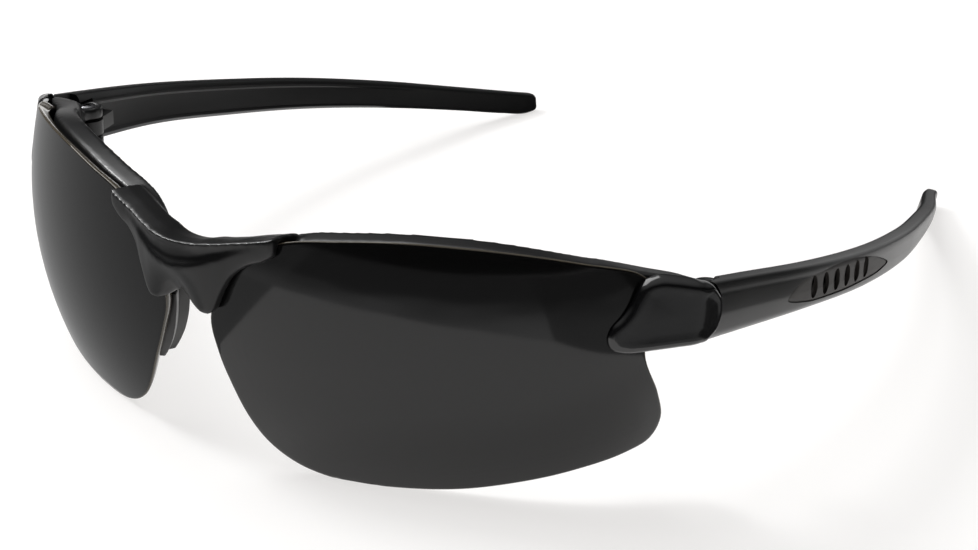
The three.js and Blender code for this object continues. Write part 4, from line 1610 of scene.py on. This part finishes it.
@dataclass
class Studio:
    """A white table under soft lights, with glowing patches on it that only gloss shows, which paint dark and
    grey reflections into the glasses.
    """

    floor_half: float = 4.0
    floor_drop: float = 2e-5
    floor_tone: float = 0.3
    floor_glow: tuple[float, float, float] = (0.7, 0.688, 0.678)
    sky: float = 0.5
    room: float = 0.015
    wall_from: float = 0.88
    wall_blend: float = 0.1
    wall_glow: float = 0.8
    wall_height: float = 4.0
    wall_sides: int = 64
    flag_reach: float = 0.16
    flag_fade: float = 0.14
    flag_height: float = 0.0005
    reflection_cloud_scale: float = 14.0
    # Painted reflections: each patch sets how dark or grey the glasses' gloss looks towards it.
    patches: tuple[PaintedReflectionPatch, ...] = (
        PaintedReflectionPatch(
            "front_room",
            ((-120, -175), (-60, -195), (0, -200), (50, -185), (90, -150), (108, -110)),
            0.75,
            0.16,
        ),
        PaintedReflectionPatch("cap_room", ((108, -110), (104, -60), (97, -25)), 0.36, 0.14),
        PaintedReflectionPatch("side_reflection", ((97, -25), (94, 10), (92, 38)), 0.05, 0.05),
        PaintedReflectionPatch(
            "left_room",
            ((-85, 50), (-70, 0), (-46, -30), (-37, -54), (-26, -66), (-10, -76), (-22, -160)),
            0.48,
            0.46,
        ),
        PaintedReflectionPatch("back_reflection", ((22, 45), (-50, 40)), 0.03, 0.03),
    )

    @staticmethod
    def plain(name: str, tone: float, glow: tuple[float, float, float]) -> bpy.types.Material:
        """A matt grey material for the studio.

        Args:
            name: The material's name.
            tone: How much light it scatters.
            glow: The light that it gives.

        Returns:
            The material.
        """
        material = bpy.data.materials.new(name)
        material.use_nodes = True
        nodes = Nodes(material.node_tree)
        sockets = {
            "Base Color": (tone, tone, tone, 1.0),
            "Roughness": 0.9,
            "Emission Color": (*glow, 1.0),
            "Emission Strength": 1.0,
        }
        shader = nodes.add("ShaderNodeBsdfPrincipled", {}, sockets)
        nodes.add("ShaderNodeOutputMaterial", {}, {"Surface": shader.out(0)})
        return material

    def floor(self) -> None:
        """The table top."""
        half, height = self.floor_half, -self.floor_drop
        plan = ((-half, -half), (half, -half), (half, half), (-half, half))
        corners = np.array([(x, y, height) for x, y in plan])
        plane = new_object("table_top", corners, [(0, 1, 2, 3)])
        plane.data.materials.append(self.plain("table_white", self.floor_tone, self.floor_glow))

    def flag(self, patch: PaintedReflectionPatch) -> None:
        """Lays a glowing patch on the table that runs out to the room: a painted reflection, seen only in
        gloss, that fades from its near brightness to its far one through painted clouds.

        Args:
            patch: The patch.
        """
        inner = np.array(patch.edge, float) * MM
        points = np.vstack([inner, inner * (self.floor_half / self.flag_reach)])
        points = np.column_stack([points, np.full(len(points), self.flag_height)])
        count = len(patch.edge)
        faces = [(k, count + k, count + k + 1, k + 1) for k in range(count - 1)]
        flag = new_object(patch.name, points, faces)
        material = bpy.data.materials.new(patch.name)
        material.use_nodes = True
        nodes = Nodes(material.node_tree)
        place = nodes.add("ShaderNodeTexCoord").out("Object")
        reach = nodes.add("ShaderNodeVectorMath", {"operation": "LENGTH"}, {0: place}).term("Value")
        # Painted reflection: noise clouds the fade from the patch's near brightness to its far one.
        reflection_clouding = {"Vector": place, "Scale": self.reflection_cloud_scale, "Detail": 1.0}
        reflection_cloud = nodes.add("ShaderNodeTexNoise", {}, reflection_clouding).term("Fac")
        fall = (reach - self.flag_reach) / self.flag_fade + (reflection_cloud - 0.5)
        fall = fall.apply("MAXIMUM", 0.0).apply("MINIMUM", 1.0)
        level = (1 - fall) * (patch.near - patch.far) + patch.far
        colour = nodes.add("ShaderNodeCombineXYZ", {}, {0: level, 1: level, 2: level}).out(0)
        glow = nodes.add("ShaderNodeEmission", {}, {"Color": colour, "Strength": 1.0})
        nodes.add("ShaderNodeOutputMaterial", {}, {"Surface": glow.out(0)})
        flag.data.materials.append(material)
        # Hidden from the camera, from diffuse light and from shadows, so it only paints reflections into
        # gloss.
        flag.visible_camera = flag.visible_diffuse = flag.visible_shadow = flag.visible_transmission = False

    def world(self) -> None:
        """A bright ceiling that falls off to a dark room near the horizon, with a pale wall behind."""
        world = bpy.data.worlds.new("studio")
        bpy.context.scene.world = world
        world.use_nodes = True
        nodes = Nodes(world.node_tree)
        toward = nodes.add("ShaderNodeTexCoord").out("Generated")
        parts = nodes.add("ShaderNodeSeparateXYZ", {}, {0: toward})
        up, back = parts.term("Z"), parts.term("Y")
        stops = ((0.0, self.room), (0.42, self.room), (0.72, self.sky * 0.6), (0.95, self.sky))
        ramp = nodes.add("ShaderNodeValToRGB", {"stops": stops}, {"Fac": up})
        wall = ((back - self.wall_from) / self.wall_blend).apply("MAXIMUM", 0.0).apply("MINIMUM", 1.0)
        level = Term(nodes, ramp.out("Color")) + wall * self.wall_glow
        background = nodes.add("ShaderNodeBackground", {}, {"Color": level.socket, "Strength": 1.0})
        nodes.add("ShaderNodeOutputWorld", {}, {"Surface": background.out(0)})

    def backdrop(self) -> None:
        """A white wall all round that only the camera sees, behind the table's far edge."""
        count = self.wall_sides
        plan = circle(0, 0, self.floor_half * 0.98, count)
        rings = [np.column_stack([plan, np.full(count, z)]) for z in (-0.1, self.wall_height)]
        faces = [(k, (k + 1) % count, count + (k + 1) % count, count + k) for k in range(count)]
        wall = new_object("backdrop", np.vstack(rings), faces)
        wall.data.materials.append(self.plain("backdrop_white", 0.0, (1.0, 1.0, 1.0)))
        wall.visible_diffuse = wall.visible_glossy = wall.visible_shadow = wall.visible_transmission = False

    @staticmethod
    def softbox(name: str, place: Sequence[float], size: float, power: float) -> None:
        """Adds a square light that faces the glasses.

        Args:
            name: The light's name.
            place: Where it hangs, in metres.
            size: Its width.
            power: Its power in watts.
        """
        data = bpy.data.lights.new(name, "AREA")
        data.shape = "SQUARE"
        data.size = size
        data.energy = power
        light = bpy.data.objects.new(name, data)
        light.location = place
        light.rotation_euler = (-Vector(place)).to_track_quat("-Z", "Y").to_euler()
        bpy.context.scene.collection.objects.link(light)

    def build(self) -> None:
        """Sets up the table, the light and the camera."""
        bpy.context.scene.view_settings.view_transform = "Standard"
        CameraPlace().make()
        self.floor()
        for patch in self.patches:
            self.flag(patch)
        self.world()
        self.backdrop()
        self.softbox("overhead", (-0.5, 0.0, 0.8), 0.8, 8.0)
        self.softbox("key", (-0.55, -0.14, 0.6), 0.18, 3.4)


def main() -> None:
    """Builds the glasses and their studio in order."""
    logging.basicConfig(level=logging.INFO, format="%(name)s: %(message)s")
    Studio().build()
    lens = Lens()
    lens.build()
    FrontFrame(lens).build()
    EndCap(lens).build()
    NoseSupport().build()
    HingePin().build()
    Temple().build()


if __name__ == "__main__":
    main()
